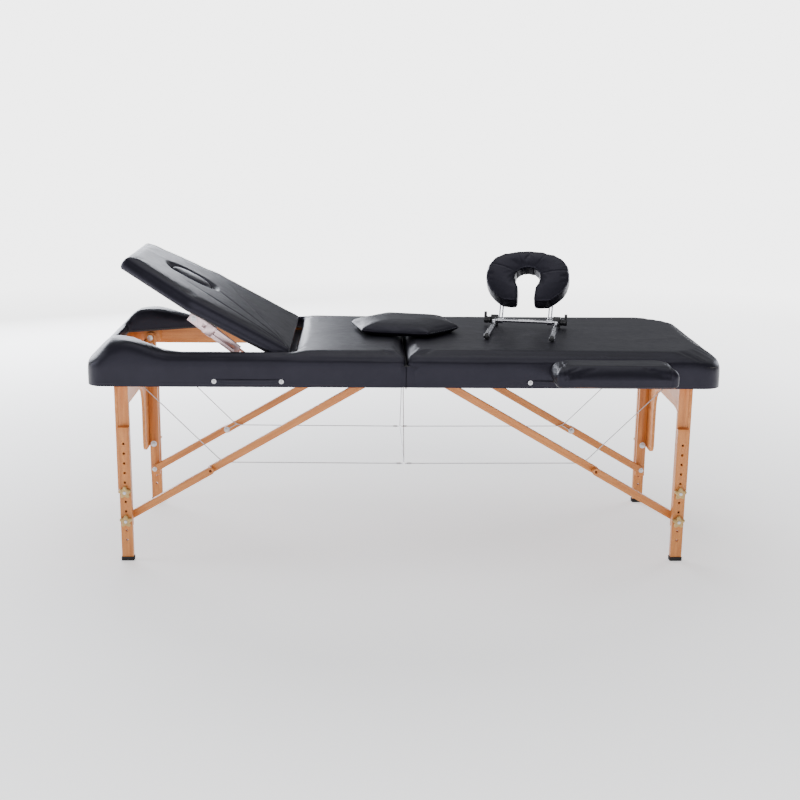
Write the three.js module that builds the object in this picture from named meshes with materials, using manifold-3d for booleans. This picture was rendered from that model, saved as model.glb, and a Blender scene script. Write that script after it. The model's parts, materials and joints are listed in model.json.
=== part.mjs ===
// Folding portable massage table: two hinged wooden halves with folding legs, a lifting
// backrest, a face cradle, a side armrest and a small loose pad.
// Millimetres, +Z up. X runs along the table (head end at -X), the near side faces -Y.
import * as THREE from 'three';
import { mergeVertices } from 'three/addons/utils/BufferGeometryUtils.js';
import Module from 'manifold-3d';

const wasm = await Module();
wasm.setup();

// ---- Driving dimensions ----
const LENGTH = 1951;
const WIDTH = 719;
const HEIGHT = 684;
const UNDERSIDE = 577.5;
const GAP = 0.3;
const SEAM = 1.5;

const HALF_LENGTH = LENGTH / 2;
const HALF_WIDTH = WIDTH / 2;
const COVER = 2.5;
const CORNER_RADIUS = 60;
const SEAM_RADIUS = 20;
const RAIL_THICKNESS = 21.5;
const DECK_BOTTOM = 639;
const DECK_TOP = 644;
const PAD_BOTTOM = DECK_TOP + GAP;
const PAD_EDGE = 12;

// The folding linkage: each leg, its two-piece brace and the pivots.
const LEG_X = 875;
const FOLD_AXIS_Z = 609;
const UPPER_LEG = { width: 32, inner: 271.7, outer: 291.7, bottom: 106 };
const LOWER_LEG = { width: 36, inner: 292, outer: 312, top: 436 };
const FOOT = { width: 42, depth: 26, height: 12 };
const HOLE_PITCH = 31.5;
const HOLE_RADIUS = 4;
const LOWER_KNOB_Z = 131.5;
const UPPER_KNOB_Z = LOWER_KNOB_Z + 3 * HOLE_PITCH;
const HOLES_BELOW = 2;
const HOLES_ABOVE = 8;
const KNOB = { radius: 18, lobe: 4, depth: 15, lobes: 5 };
const BRACE_PIVOT_X = 52;
const BRACE_WIDTH = 24;
const UPPER_BRACE = { inner: 239.1, outer: 255.1, length: 648.5 };
const LOWER_BRACE = { inner: 255.4, outer: 271.4, length: 303 };
const PIN_RADIUS = 4;
const BLOCK_BOTTOM = 592;
const HINGE_BLOCK_HALF = 28;
const BRACE_EAR = { thickness: 12, beyond: 16 };
const END_PANEL = { thickness: 10, top: 598, bottom: 216, apex: 461, opening: 186, arch: 90, foot: 34 };
// A shallow recess in each panel that the end of the upper brace swings through.
const KNEE_RECESS = { inner: 236, outer: 258.5, bottom: 366, top: 454, depth: 6 };

// The lifting backrest. It is drawn lying flat and turned about the top edge of its seam.
const BACKREST_ANGLE = 28;
const BACKREST_SEAM_X = -345;
const BACKREST = {
  length: 590, halfWidth: 305, kink: 339, headHalfWidth: 196, bottom: 634, board: 8,
};
const BLOCK_TOP = BACKREST.bottom - GAP;
const SEAM_RAIL = { width: 30, thin: 628, deep: 594, clear: 214 };
const STRUT_BRACKET = { end: -476, inner: 203, top: 624 };
const CORNER_BUMP = { height: 24, start: 20, inset: 8, chamfer: 40 };
const FACE_HOLE = { centre: 388, halfLength: 74, halfWidth: 52 };
const STRUT_Y = { inner: 215, outer: 229 };
const STRUT_TOP = { x: -660, z: 609 };
const STRUT_FOOT = { x: -450, z: 606 };
const STRUT_CHANNEL = { length: 170, width: 32, wall: 3, closedEnd: 14, solidEnd: 20, slotHalf: 5 };
const STRUT_BAR = {
  length: 183, width: 22, thickness: 4, beyondEye: 12, holes: 5, holePitch: 18, holeRadius: 3.5,
};
const CABLE = { radius: 1.5, ease: 22, steps: 24 };

// Accessories.
const ARMREST = {
  x: 622, length: 366, inner: 366, outer: 510, bottom: 612, top: 673, board: 12, corner: 14, edge: 11,
};
const ARMREST_ROD = { spacing: 240, z: 618, radius: 5.5, reach: 19 };
const HANDLE = { start: 378, end: 586, top: 604, tip: 590, sag: 568, thickness: 4 };
const CRADLE = { x: 416, y: 100, yaw: -11.4, lean: 40 };
const POST = { spacing: 210, radius: 9.2, front: -250, back: -13 };
const CRADLE_BAR = { z: 20, radius: 6 };
const CLAMP = { half: 13, front: 8, back: 24, height: 36, camRadius: 12, camStart: 11, camEnd: 36 };
const CARRIER = {
  start: 3, thickness: 5, inset: 22, rodRadius: 2.6, rodEnd: 130,
  hubRadius: 9.5, hubStart: 74, hubEnd: 92,
};
const CARRIER_RODS = [-88, -78, 78, 88];
const CUSHION = {
  start: 40, height: 205, halfWidth: 142, thickness: 60, opening: 46, gap: 26, edge: 5,
};
const SMALL_PAD = {
  x: 6, y: 40, yaw: -14, halfLength: 190, shoulder: 115, halfWidth: 150, height: 42, edge: 18,
};

// The armrest sticks out at the near side, so the table stands off centre across the frame.
const SHIFT_Y = (ARMREST.outer - HALF_WIDTH) / 2;

const finish = (color, roughness, metalness = 0) =>
  new THREE.MeshStandardMaterial({ color, roughness, metalness });
const WOOD = finish(0xd98850, 0.5);
const VINYL = finish(0x26242c, 0.4);
const BOARD = finish(0x3a342e, 0.8);
const RUBBER = finish(0x1c1a1a, 0.8);
const BRASS = finish(0xc89a4a, 0.35, 0.4);
const STEEL = finish(0xb9bcc2, 0.3, 0.9);
const ROSE_STEEL = finish(0xcfa9ac, 0.35, 0.8);
const BLACK_PLASTIC = finish(0x1d1c20, 0.5);

const table = new THREE.Group();
table.position.y = SHIFT_Y;

// ---- Solids ----
function toSolid(geometry) {
  const bare = geometry.clone();
  bare.deleteAttribute('normal');
  bare.deleteAttribute('uv');
  const merged = mergeVertices(bare, 1e-3);
  const corners = merged.index.array;
  const triangles = [];
  for (let i = 0; i < corners.length; i += 3) {
    const [a, b, c] = corners.slice(i, i + 3);
    if (a !== b && b !== c && c !== a) triangles.push(a, b, c);
  }
  return new wasm.Manifold(new wasm.Mesh({
    numProp: 3,
    vertProperties: new Float32Array(merged.attributes.position.array),
    triVerts: new Uint32Array(triangles),
  }));
}

function toGeometry(solid) {
  const mesh = solid.getMesh();
  const geometry = new THREE.BufferGeometry();
  geometry.setAttribute('position', new THREE.BufferAttribute(mesh.vertProperties, 3));
  geometry.setIndex(new THREE.BufferAttribute(mesh.triVerts, 1));
  geometry.computeVertexNormals();
  return geometry;
}

const join = (...geometries) => toGeometry(geometries.map(toSolid).reduce((a, b) => a.add(b)));
const cut = (geometry, ...tools) =>
  toGeometry(tools.map(toSolid).reduce((body, tool) => body.subtract(tool), toSolid(geometry)));
const common = (a, b) => toGeometry(toSolid(a).intersect(toSolid(b)));

function box(x0, x1, y0, y1, z0, z1) {
  const geometry = new THREE.BoxGeometry(Math.abs(x1 - x0), Math.abs(y1 - y0), Math.abs(z1 - z0));
  return geometry.translate((x0 + x1) / 2, (y0 + y1) / 2, (z0 + z1) / 2);
}

function rodAlongY(x, z, radius, y0, y1, sides = 12) {
  const geometry = new THREE.CylinderGeometry(radius, radius, Math.abs(y1 - y0), sides);
  return geometry.translate(x, (y0 + y1) / 2, z);
}

function rodAlongX(y, z, radius, x0, x1, sides = 12) {
  const geometry = new THREE.CylinderGeometry(radius, radius, Math.abs(x1 - x0), sides);
  return geometry.rotateZ(Math.PI / 2).translate((x0 + x1) / 2, y, z);
}

// A plan shape pushed up from z0 to z1, with an optional rounded rim inside its outline.
function slab(shape, z0, z1, edge = 0) {
  const bevel = { bevelEnabled: edge > 0, bevelThickness: edge, bevelSize: edge, bevelOffset: -edge };
  const options = { depth: z1 - z0 - 2 * edge, curveSegments: 5, bevelSegments: 2, ...bevel };
  return new THREE.ExtrudeGeometry(shape, options).translate(0, 0, z0 + edge);
}

// A slab whose top edge alone is rounded.
function cushionSlab(shape, z0, z1, edge) {
  const deep = slab(shape, z0 - 2 * edge, z1, edge);
  return common(deep, box(-2000, 2000, -1000, 1000, z0, z1 + 1));
}

// A shape drawn in X and Z, pushed along Y.
function plateAcrossY(shape, y0, y1) {
  const depth = Math.abs(y1 - y0);
  const geometry = new THREE.ExtrudeGeometry(shape, { depth, bevelEnabled: false, curveSegments: 6 });
  return geometry.rotateX(Math.PI / 2).translate(0, Math.max(y0, y1), 0);
}

// A shape drawn in Y and Z, pushed along X.
function plateAcrossX(shape, x0, x1) {
  const depth = Math.abs(x1 - x0);
  const geometry = new THREE.ExtrudeGeometry(shape, { depth, bevelEnabled: false, curveSegments: 6 });
  return geometry.rotateX(Math.PI / 2).rotateZ(Math.PI / 2).translate(Math.min(x0, x1), 0, 0);
}

const polygon = (points) => new THREE.Shape(points.map(([x, y]) => new THREE.Vector2(x, y)));

// A rectangle between two X positions, with one corner radius at each of its two ends.
function roundedOutline(low, high, halfWidth, lowRadius, highRadius, Outline = THREE.Shape) {
  const quarter = Math.PI / 2;
  const outline = new Outline();
  outline.absarc(low + lowRadius, -halfWidth + lowRadius, lowRadius, 2 * quarter, 3 * quarter, false);
  outline.absarc(high - highRadius, -halfWidth + highRadius, highRadius, 3 * quarter, 4 * quarter, false);
  outline.absarc(high - highRadius, halfWidth - highRadius, highRadius, 0, quarter, false);
  outline.absarc(low + lowRadius, halfWidth - lowRadius, lowRadius, quarter, 2 * quarter, false);
  outline.closePath();
  return outline;
}

function addPart(name, geometry, material, parent = table) {
  const mesh = new THREE.Mesh(geometry, material);
  mesh.name = name;
  parent.add(mesh);
  return mesh;
}

// ---- Frames, decks and pads ----
// The plan outline of one half of the table, inset on its three free sides.
function halfOutline(side, inset, seam = SEAM, seamRadius = 2, Outline = THREE.Shape) {
  const end = HALF_LENGTH - inset;
  const halfWidth = HALF_WIDTH - inset;
  const endRadius = CORNER_RADIUS - inset;
  return side > 0
    ? roundedOutline(seam, end, halfWidth, seamRadius, endRadius, Outline)
    : roundedOutline(-end, -seam, halfWidth, endRadius, seamRadius, Outline);
}

function ringFrame(side) {
  const outline = halfOutline(side, COVER);
  const inset = COVER + RAIL_THICKNESS;
  outline.holes.push(halfOutline(side, inset, SEAM + RAIL_THICKNESS, 2, THREE.Path));
  return slab(outline, UNDERSIDE, DECK_BOTTOM - GAP);
}

// The wood block and steel pin that a leg turns on, at one side of one end.
function legHinge(side, y) {
  const x = side * LEG_X;
  const inner = y * (LOWER_LEG.inner + 0.2);
  const rail = y * (HALF_WIDTH - COVER - 2);
  const half = HINGE_BLOCK_HALF;
  const block = box(x - half, x + half, inner, rail, BLOCK_BOTTOM, BLOCK_TOP);
  return join(block, rodAlongY(x, FOLD_AXIS_Z, PIN_RADIUS + 1, inner + y, y * (UPPER_LEG.inner - 1)));
}

// The ear and pin that an upper brace turns on, against the centre rail.
function bracePivot(side, y) {
  const face = y * (UPPER_BRACE.inner - GAP);
  const rail = side * (SEAM + 5);
  const { thickness, beyond } = BRACE_EAR;
  const tip = side * (BRACE_PIVOT_X + beyond);
  const ear = box(rail, tip, face, face - y * thickness, BLOCK_BOTTOM, DECK_BOTTOM - GAP);
  const pin = rodAlongY(side * BRACE_PIVOT_X, FOLD_AXIS_Z, PIN_RADIUS, face - y, y * UPPER_BRACE.outer);
  return join(ear, pin);
}

function frameWithPivots(side) {
  const pivots = [-1, 1].flatMap((y) => [legHinge(side, y), bracePivot(side, y)]);
  return join(ringFrame(side), ...pivots);
}

// The two holes in the near rail and its cover that take the armrest's dowels.
function armrestSockets() {
  const { spacing, z, radius, reach } = ARMREST_ROD;
  const depth = -HALF_WIDTH + COVER + reach + 1;
  return [-1, 1].map((end) =>
    rodAlongY(ARMREST.x + end * spacing / 2, z, radius + GAP, -HALF_WIDTH - 1, depth));
}

// The shallow rail under the backrest seam, deeper between the folded legs, with strut brackets.
function seamRail() {
  const near = BACKREST_SEAM_X + 2;
  const far = near - SEAM_RAIL.width;
  const side = HALF_WIDTH - COVER - 2;
  const shallow = box(near, far, -side, side, SEAM_RAIL.thin, BLOCK_TOP);
  const deep = box(near, far, -SEAM_RAIL.clear, SEAM_RAIL.clear, SEAM_RAIL.deep, BLOCK_TOP);
  const { end, inner, top } = STRUT_BRACKET;
  const arms = [-1, 1].map((y) =>
    box(near - 1, end, y * inner, y * (STRUT_Y.inner - 0.5), SEAM_RAIL.deep, top));
  return join(shallow, deep, ...arms);
}

function backrestOutline(clearance, Outline = THREE.Shape) {
  const { length, halfWidth, kink, headHalfWidth } = BACKREST;
  const seam = BACKREST_SEAM_X - SEAM + clearance;
  const head = BACKREST_SEAM_X - length - clearance;
  const outline = new Outline();
  outline.moveTo(seam, halfWidth + clearance);
  outline.lineTo(BACKREST_SEAM_X - kink, halfWidth + clearance);
  outline.lineTo(head, headHalfWidth + clearance);
  outline.lineTo(head, -headHalfWidth - clearance);
  outline.lineTo(BACKREST_SEAM_X - kink, -halfWidth - clearance);
  outline.lineTo(seam, -halfWidth - clearance);
  outline.closePath();
  return outline;
}

const OPENING_CLEARANCE = 3;

// The skirt of the cover that hangs over the outside of the rails.
function skirt(side, seam) {
  const outer = halfOutline(side, 0, seam);
  const hollow = slab(halfOutline(side, COVER - GAP, 0.1), UNDERSIDE - 1, PAD_BOTTOM - 0.1);
  return cut(slab(outer, UNDERSIDE, PAD_BOTTOM + 1), hollow);
}

function addRightHalf() {
  addPart('right_frame', cut(frameWithPivots(1), ...armrestSockets()), WOOD);
  addPart('right_deck', slab(halfOutline(1, COVER), DECK_BOTTOM, DECK_TOP), BOARD);
  const foam = cushionSlab(halfOutline(1, 0, SEAM, SEAM_RADIUS), PAD_BOTTOM, HEIGHT, PAD_EDGE);
  const cover = cut(join(foam, skirt(1, SEAM)), ...armrestSockets());
  addPart('right_pad', cover, VINYL);
}

// The cushion that fills the corner outside the backrest's bevelled head.
function cornerBump(y) {
  const { height, start, inset, chamfer } = CORNER_BUMP;
  const rail = BACKREST_SEAM_X - BACKREST.kink - inset - 30;
  const slope = BACKREST_SEAM_X - BACKREST.length - 6;
  const head = -(HALF_LENGTH - inset);
  const side = HALF_WIDTH - inset;
  const shape = polygon([
    [rail, y * side], [rail, y * (BACKREST.halfWidth + 4)],
    [slope, y * (BACKREST.headHalfWidth + 10)], [head, y * (BACKREST.headHalfWidth + 10)],
    [head, y * (side - chamfer)], [head + chamfer, y * side],
  ]);
  return cushionSlab(shape, HEIGHT - start, HEIGHT + height, PAD_EDGE);
}

function addLeftHalf() {
  addPart('left_frame', join(frameWithPivots(-1), seamRail()), WOOD);
  const deck = halfOutline(-1, COVER);
  deck.holes.push(backrestOutline(OPENING_CLEARANCE, THREE.Path));
  addPart('left_deck', slab(deck, DECK_BOTTOM, DECK_TOP), BOARD);

  const side = HALF_WIDTH + 1;
  const above = HEIGHT + 2 * CORNER_BUMP.height;
  const middle = box(BACKREST_SEAM_X + SEAM, 0, -side, side, UNDERSIDE - 1, above);
  const rest = box(BACKREST_SEAM_X + SEAM - 1, -HALF_LENGTH - 1, -side, side, UNDERSIDE - 1, above);
  const foam = join(cushionSlab(halfOutline(-1, 0, SEAM, SEAM_RADIUS), PAD_BOTTOM, HEIGHT, PAD_EDGE),
    skirt(-1, SEAM));
  addPart('middle_pad', common(foam, middle), VINYL);
  const opening = slab(backrestOutline(OPENING_CLEARANCE), UNDERSIDE, above);
  const rim = join(common(foam, rest), cornerBump(-1), cornerBump(1));
  addPart('head_rim_pad', cut(rim, opening), VINYL);
}

// A carrying strap along the near rail, sagging between its two fixings.
function addHandle(side) {
  const { start, end, top, tip, sag, thickness } = HANDLE;
  const middle = (start + end) / 2;
  const strap = new THREE.Shape();
  strap.moveTo(start, top);
  strap.lineTo(end, top);
  strap.lineTo(end, tip);
  strap.quadraticCurveTo(middle, sag, start, tip);
  strap.closePath();
  const geometry = plateAcrossY(strap, -HALF_WIDTH - GAP, -HALF_WIDTH - GAP - thickness);
  if (side < 0) geometry.translate(-2 * middle, 0, 0);
  addPart(side > 0 ? 'right_handle' : 'left_handle', geometry, VINYL);
}

const CENTRE_PIN = { z: 574, radius: 3.2, half: 350 };

function addCentreHinge() {
  const { z, radius, half } = CENTRE_PIN;
  addPart('centre_hinge_pin', rodAlongY(0, z, radius, -half, half, 10), STEEL);
}

// ---- Legs ----
const NEAR_FAR = { near: -1, far: 1 };
const LEFT_RIGHT = { left: -1, right: 1 };

function addUpperLeg(name, x, y) {
  const { width, inner, outer, bottom } = UPPER_LEG;
  const half = width / 2;
  const outline = new THREE.Shape();
  outline.moveTo(x - half, bottom);
  outline.lineTo(x + half, bottom);
  outline.lineTo(x + half, FOLD_AXIS_Z);
  outline.absarc(x, FOLD_AXIS_Z, half, 0, Math.PI, false);
  outline.closePath();
  const leg = plateAcrossY(outline, y * inner, y * outer);
  const hole = rodAlongY(x, FOLD_AXIS_Z, PIN_RADIUS + 1 + GAP, y * (inner - 10), y * (outer + 10));
  const stud = rodAlongY(x, LOWER_KNOB_Z, PIN_RADIUS, y * LOWER_BRACE.inner, y * (inner + 5));
  addPart(name, join(cut(leg, hole), stud), WOOD);
}

function addLowerLeg(suffix, x, y) {
  const { width, inner, outer, top } = LOWER_LEG;
  const leg = box(x - width / 2, x + width / 2, y * inner, y * outer, FOOT.height + GAP, top);
  const holes = [];
  for (let step = -HOLES_BELOW; step <= HOLES_ABOVE; step += 1) {
    const z = LOWER_KNOB_Z + step * HOLE_PITCH;
    holes.push(rodAlongY(x, z, HOLE_RADIUS, y * (inner - 10), y * (outer + 10), 8));
  }
  addPart(`lower_leg_${suffix}`, cut(leg, ...holes), WOOD);
  const centre = y * (inner + outer) / 2;
  const across = FOOT.width / 2;
  const deep = FOOT.depth / 2;
  const foot = box(x - across, x + across, centre - deep, centre + deep, 0, FOOT.height);
  addPart(`foot_${suffix}`, foot, RUBBER);
}

function addKnob(name, x, y, z) {
  const points = [];
  const count = KNOB.lobes * 6;
  for (let i = 0; i < count; i += 1) {
    const angle = (2 * Math.PI * i) / count;
    const radius = KNOB.radius + KNOB.lobe * Math.cos(KNOB.lobes * angle);
    points.push([x + radius * Math.sin(angle), z + radius * Math.cos(angle)]);
  }
  const face = LOWER_LEG.outer + GAP;
  addPart(name, plateAcrossY(polygon(points), y * face, y * (face + KNOB.depth)), BRASS);
}

// The arched board that joins the two legs of one end.
function addEndPanel(side) {
  const { thickness, top, bottom, apex, opening, arch, foot } = END_PANEL;
  const outer = UPPER_LEG.outer - GAP;
  const shape = new THREE.Shape();
  shape.moveTo(-outer, top);
  shape.lineTo(-outer, bottom);
  shape.lineTo(-opening - foot, bottom);
  shape.quadraticCurveTo(-opening, bottom, -opening, bottom + foot);
  shape.lineTo(-opening, apex - arch);
  shape.quadraticCurveTo(-opening, apex, -opening + arch, apex);
  shape.lineTo(opening - arch, apex);
  shape.quadraticCurveTo(opening, apex, opening, apex - arch);
  shape.lineTo(opening, bottom + foot);
  shape.quadraticCurveTo(opening, bottom, opening + foot, bottom);
  shape.lineTo(outer, bottom);
  shape.lineTo(outer, top);
  shape.closePath();
  const face = side * (LEG_X + UPPER_LEG.width / 2 + GAP);
  const recess = KNEE_RECESS;
  const recesses = [-1, 1].map((y) => box(face - side, face + side * recess.depth,
    y * recess.inner, y * recess.outer, recess.bottom, recess.top));
  const panel = cut(plateAcrossX(shape, face, face + side * thickness), ...recesses);
  addPart(side > 0 ? 'right_end_panel' : 'left_end_panel', panel, WOOD);
}

// A flat bar from (x0, z0) to (x1, z1) with round ends and a hole at each.
function linkPlate(x0, z0, x1, z1, width, y0, y1, holeRadius) {
  const angle = Math.atan2(z1 - z0, x1 - x0);
  const bar = new THREE.Shape();
  bar.absarc(x0, z0, width / 2, angle + Math.PI / 2, angle + Math.PI * 1.5, false);
  bar.absarc(x1, z1, width / 2, angle - Math.PI / 2, angle + Math.PI / 2, false);
  bar.closePath();
  const holes = [[x0, z0], [x1, z1]].map(([x, z]) => rodAlongY(x, z, holeRadius, y0 * 0.9, y1 * 1.1));
  return cut(plateAcrossY(bar, y0, y1), ...holes);
}

function kneePoint() {
  const reach = Math.hypot(LEG_X - BRACE_PIVOT_X, FOLD_AXIS_Z - LOWER_KNOB_Z);
  const share = UPPER_BRACE.length / reach;
  return {
    x: BRACE_PIVOT_X + share * (LEG_X - BRACE_PIVOT_X),
    z: FOLD_AXIS_Z + share * (LOWER_KNOB_Z - FOLD_AXIS_Z),
  };
}

function addBraces(suffix, side, y) {
  const knee = kneePoint();
  const x = side * knee.x;
  const upper = linkPlate(side * BRACE_PIVOT_X, FOLD_AXIS_Z, x, knee.z, BRACE_WIDTH,
    y * UPPER_BRACE.inner, y * UPPER_BRACE.outer, PIN_RADIUS + GAP);
  addPart(`upper_brace_${suffix}`, upper, WOOD);
  const lower = linkPlate(x, knee.z, side * LEG_X, LOWER_KNOB_Z, BRACE_WIDTH,
    y * LOWER_BRACE.inner, y * LOWER_BRACE.outer, PIN_RADIUS + GAP);
  addPart(`lower_brace_${suffix}`, lower, WOOD);
}

function addLegs() {
  for (const [end, side] of Object.entries(LEFT_RIGHT)) {
    for (const [row, y] of Object.entries(NEAR_FAR)) {
      const suffix = `${end}_${row}`;
      const x = side * LEG_X;
      addUpperLeg(`upper_leg_${suffix}`, x, y);
      addLowerLeg(suffix, x, y);
      addKnob(`upper_knob_${suffix}`, x, y, UPPER_KNOB_Z);
      addKnob(`lower_knob_${suffix}`, x, y, LOWER_KNOB_Z);
      addBraces(suffix, side, y);
    }
    addEndPanel(side);
  }
}

// ---- Backrest ----
function faceHole(Outline, grow = 0) {
  const outline = new Outline();
  const x = BACKREST_SEAM_X - FACE_HOLE.centre;
  outline.absellipse(x, 0, FACE_HOLE.halfLength + grow, FACE_HOLE.halfWidth + grow, 0, 2 * Math.PI, false);
  return outline;
}

function addBackrest() {
  const hinge = new THREE.Group();
  hinge.position.set(BACKREST_SEAM_X, 0, HEIGHT);
  hinge.rotation.y = THREE.MathUtils.degToRad(BACKREST_ANGLE);
  table.add(hinge);
  const flat = new THREE.Group();
  flat.position.set(-BACKREST_SEAM_X, 0, -HEIGHT);
  hinge.add(flat);

  const boardShape = backrestOutline(-6);
  boardShape.holes.push(faceHole(THREE.Path, 4));
  const board = slab(boardShape, BACKREST.bottom, BACKREST.bottom + BACKREST.board);
  const ears = [-1, 1].map((y) => box(STRUT_TOP.x - 15, STRUT_TOP.x + 15, y * (STRUT_Y.inner - 8),
    y * (STRUT_Y.inner - 0.5), STRUT_TOP.z - 13, BACKREST.bottom + 1));
  addPart('backrest_board', join(board, ...ears), BOARD, flat);

  const foam = cushionSlab(backrestOutline(0), BACKREST.bottom + BACKREST.board + GAP, HEIGHT, PAD_EDGE);
  const hole = slab(faceHole(THREE.Shape, 2), BACKREST.bottom, HEIGHT + 5);
  addPart('backrest_pad', cut(foam, hole), VINYL, flat);
  addPart('face_plug', slab(faceHole(THREE.Shape), BACKREST.bottom + 4, HEIGHT + 2, 6), VINYL, flat);
}

function turned(x, z) {
  const angle = THREE.MathUtils.degToRad(BACKREST_ANGLE);
  const dx = x - BACKREST_SEAM_X;
  const dz = z - HEIGHT;
  return {
    x: BACKREST_SEAM_X + dx * Math.cos(angle) + dz * Math.sin(angle),
    z: HEIGHT - dx * Math.sin(angle) + dz * Math.cos(angle),
  };
}

// The telescopic strut: a slotted channel on the backrest and a perforated bar from the frame.
// Both are drawn along +X from their own pivots and then turned into line.
function addStrut(suffix, y) {
  const top = turned(STRUT_TOP.x, STRUT_TOP.z);
  const slope = Math.atan2(STRUT_FOOT.z - top.z, STRUT_FOOT.x - top.x);
  const channel = strutChannel(y).rotateY(-slope).translate(top.x, 0, top.z);
  addPart(`strut_channel_${suffix}`, channel, ROSE_STEEL);
  const bar = strutBar(y).rotateY(-slope).translate(STRUT_FOOT.x, 0, STRUT_FOOT.z);
  addPart(`strut_bar_${suffix}`, bar, ROSE_STEEL);
}

function strutChannel(y) {
  const { length, width, wall, closedEnd, solidEnd, slotHalf } = STRUT_CHANNEL;
  const half = width / 2;
  const inner = y * STRUT_Y.inner;
  const outer = y * STRUT_Y.outer;
  const solid = box(-closedEnd, length, inner, outer, -half, half);
  const cavity = box(solidEnd, length + 1, inner + y * wall, outer - y * wall, -half + wall, half - wall);
  const slotStart = solidEnd + closedEnd;
  const slot = box(slotStart, length - closedEnd, inner + y * wall * 2, outer + y, -slotHalf, slotHalf);
  return cut(solid, cavity, slot);
}

function strutBar(y) {
  const { length, width, thickness, beyondEye, holes, holePitch, holeRadius } = STRUT_BAR;
  const middle = y * (STRUT_Y.inner + STRUT_Y.outer) / 2;
  const half = thickness / 2;
  const strip = box(-length, beyondEye, middle - half, middle + half, -width / 2, width / 2);
  const punches = [];
  for (let i = 0; i < holes; i += 1) {
    const x = -length / 2 - 10 + i * holePitch;
    punches.push(rodAlongY(x, 0, holeRadius, middle - thickness, middle + thickness, 8));
  }
  const eye = rodAlongY(0, 0, PIN_RADIUS, middle - thickness, middle + thickness, 8);
  return cut(strip, eye, ...punches);
}

// ---- Cables ----
// A straight-sided path whose corners are eased by a short curve.
function cable(points) {
  const path = new THREE.CurvePath();
  const stops = points.map((p) => new THREE.Vector3(...p));
  const { radius, ease, steps } = CABLE;
  let last = stops[0];
  for (let i = 1; i < stops.length - 1; i += 1) {
    const before = stops[i].clone().add(stops[i - 1].clone().sub(stops[i]).setLength(ease));
    const after = stops[i].clone().add(stops[i + 1].clone().sub(stops[i]).setLength(ease));
    path.add(new THREE.LineCurve3(last, before));
    path.add(new THREE.QuadraticBezierCurve3(before, stops[i], after));
    last = after;
  }
  path.add(new THREE.LineCurve3(last, stops[stops.length - 1]));
  const section = new THREE.Shape().absarc(0, 0, radius, 0, 2 * Math.PI, false);
  return new THREE.ExtrudeGeometry(section, { steps, curveSegments: 4, extrudePath: path });
}

const CABLE_Y = 233;
const CABLE_LOW = 300;
const KNEE_BRACKET = { x: 36, z: 19 };

function addCables() {
  const knee = kneePoint();
  for (const [end, side] of Object.entries(LEFT_RIGHT)) {
    for (const [row, y] of Object.entries(NEAR_FAR)) {
      const route = [
        [side * (LEG_X - 8), y * CABLE_Y, UNDERSIDE + 18],
        [side * (knee.x - KNEE_BRACKET.x), y * CABLE_Y, knee.z + KNEE_BRACKET.z],
        [side * 4, y * CABLE_Y, CABLE_LOW],
      ];
      addPart(`cable_${end}_${row}`, cable(route), STEEL);
    }
  }
  const loop = [
    [0, -40, UNDERSIDE - 8], [0, -CABLE_Y, CABLE_LOW], [0, CABLE_Y, CABLE_LOW], [0, 40, UNDERSIDE - 8],
  ];
  addPart('cable_centre_loop', cable(loop), STEEL);
}

// ---- Accessories ----
function addArmrest() {
  const { x, length, inner, outer, bottom, top, board, corner, edge } = ARMREST;
  const low = x - length / 2;
  const high = x + length / 2;
  const outline = roundedOutline(low, high, (outer - inner) / 2, corner, corner);
  const pad = slab(outline, bottom + board + GAP, top, edge).translate(0, -(outer + inner) / 2, 0);
  addPart('armrest_pad', pad, VINYL);
  const plank = box(low + board, high - board, -outer + 10, -inner - 2, bottom, bottom + board);
  const { spacing, z, radius, reach } = ARMREST_ROD;
  const rods = [-1, 1].map((end) =>
    rodAlongY(x + end * spacing / 2, z, radius, -outer + 40, -HALF_WIDTH + COVER + reach, 10));
  addPart('armrest_board', join(plank, ...rods), WOOD);
}

function cradleGroup() {
  const group = new THREE.Group();
  group.position.set(CRADLE.x, CRADLE.y, HEIGHT + GAP);
  group.rotation.z = THREE.MathUtils.degToRad(CRADLE.yaw);
  table.add(group);
  return group;
}

function addCradleBase(group) {
  const half = POST.spacing / 2;
  const posts = [-1, 1].map((end) =>
    rodAlongY(end * half, POST.radius, POST.radius, POST.front, POST.back + 6));
  const bar = rodAlongX(0, CRADLE_BAR.z, CRADLE_BAR.radius, -half, half);
  const links = [-1, 1].map((end) =>
    box(end * half - 6, end * half + 6, POST.back - 4, 6, 4, CRADLE_BAR.z + 5));
  addPart('cradle_base', join(...posts, bar, ...links), STEEL, group);
  for (const end of [-1, 1]) {
    const centre = end * half;
    const block = box(centre - CLAMP.half, centre + CLAMP.half, CLAMP.front, CLAMP.back, 0, CLAMP.height);
    const cam = rodAlongX((CLAMP.front + CLAMP.back) / 2, CLAMP.height / 2, CLAMP.camRadius,
      end * (half + CLAMP.camStart), end * (half + CLAMP.camEnd));
    addPart(end < 0 ? 'cradle_clamp_left' : 'cradle_clamp_right', join(block, cam), BLACK_PLASTIC, group);
  }
}

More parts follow.
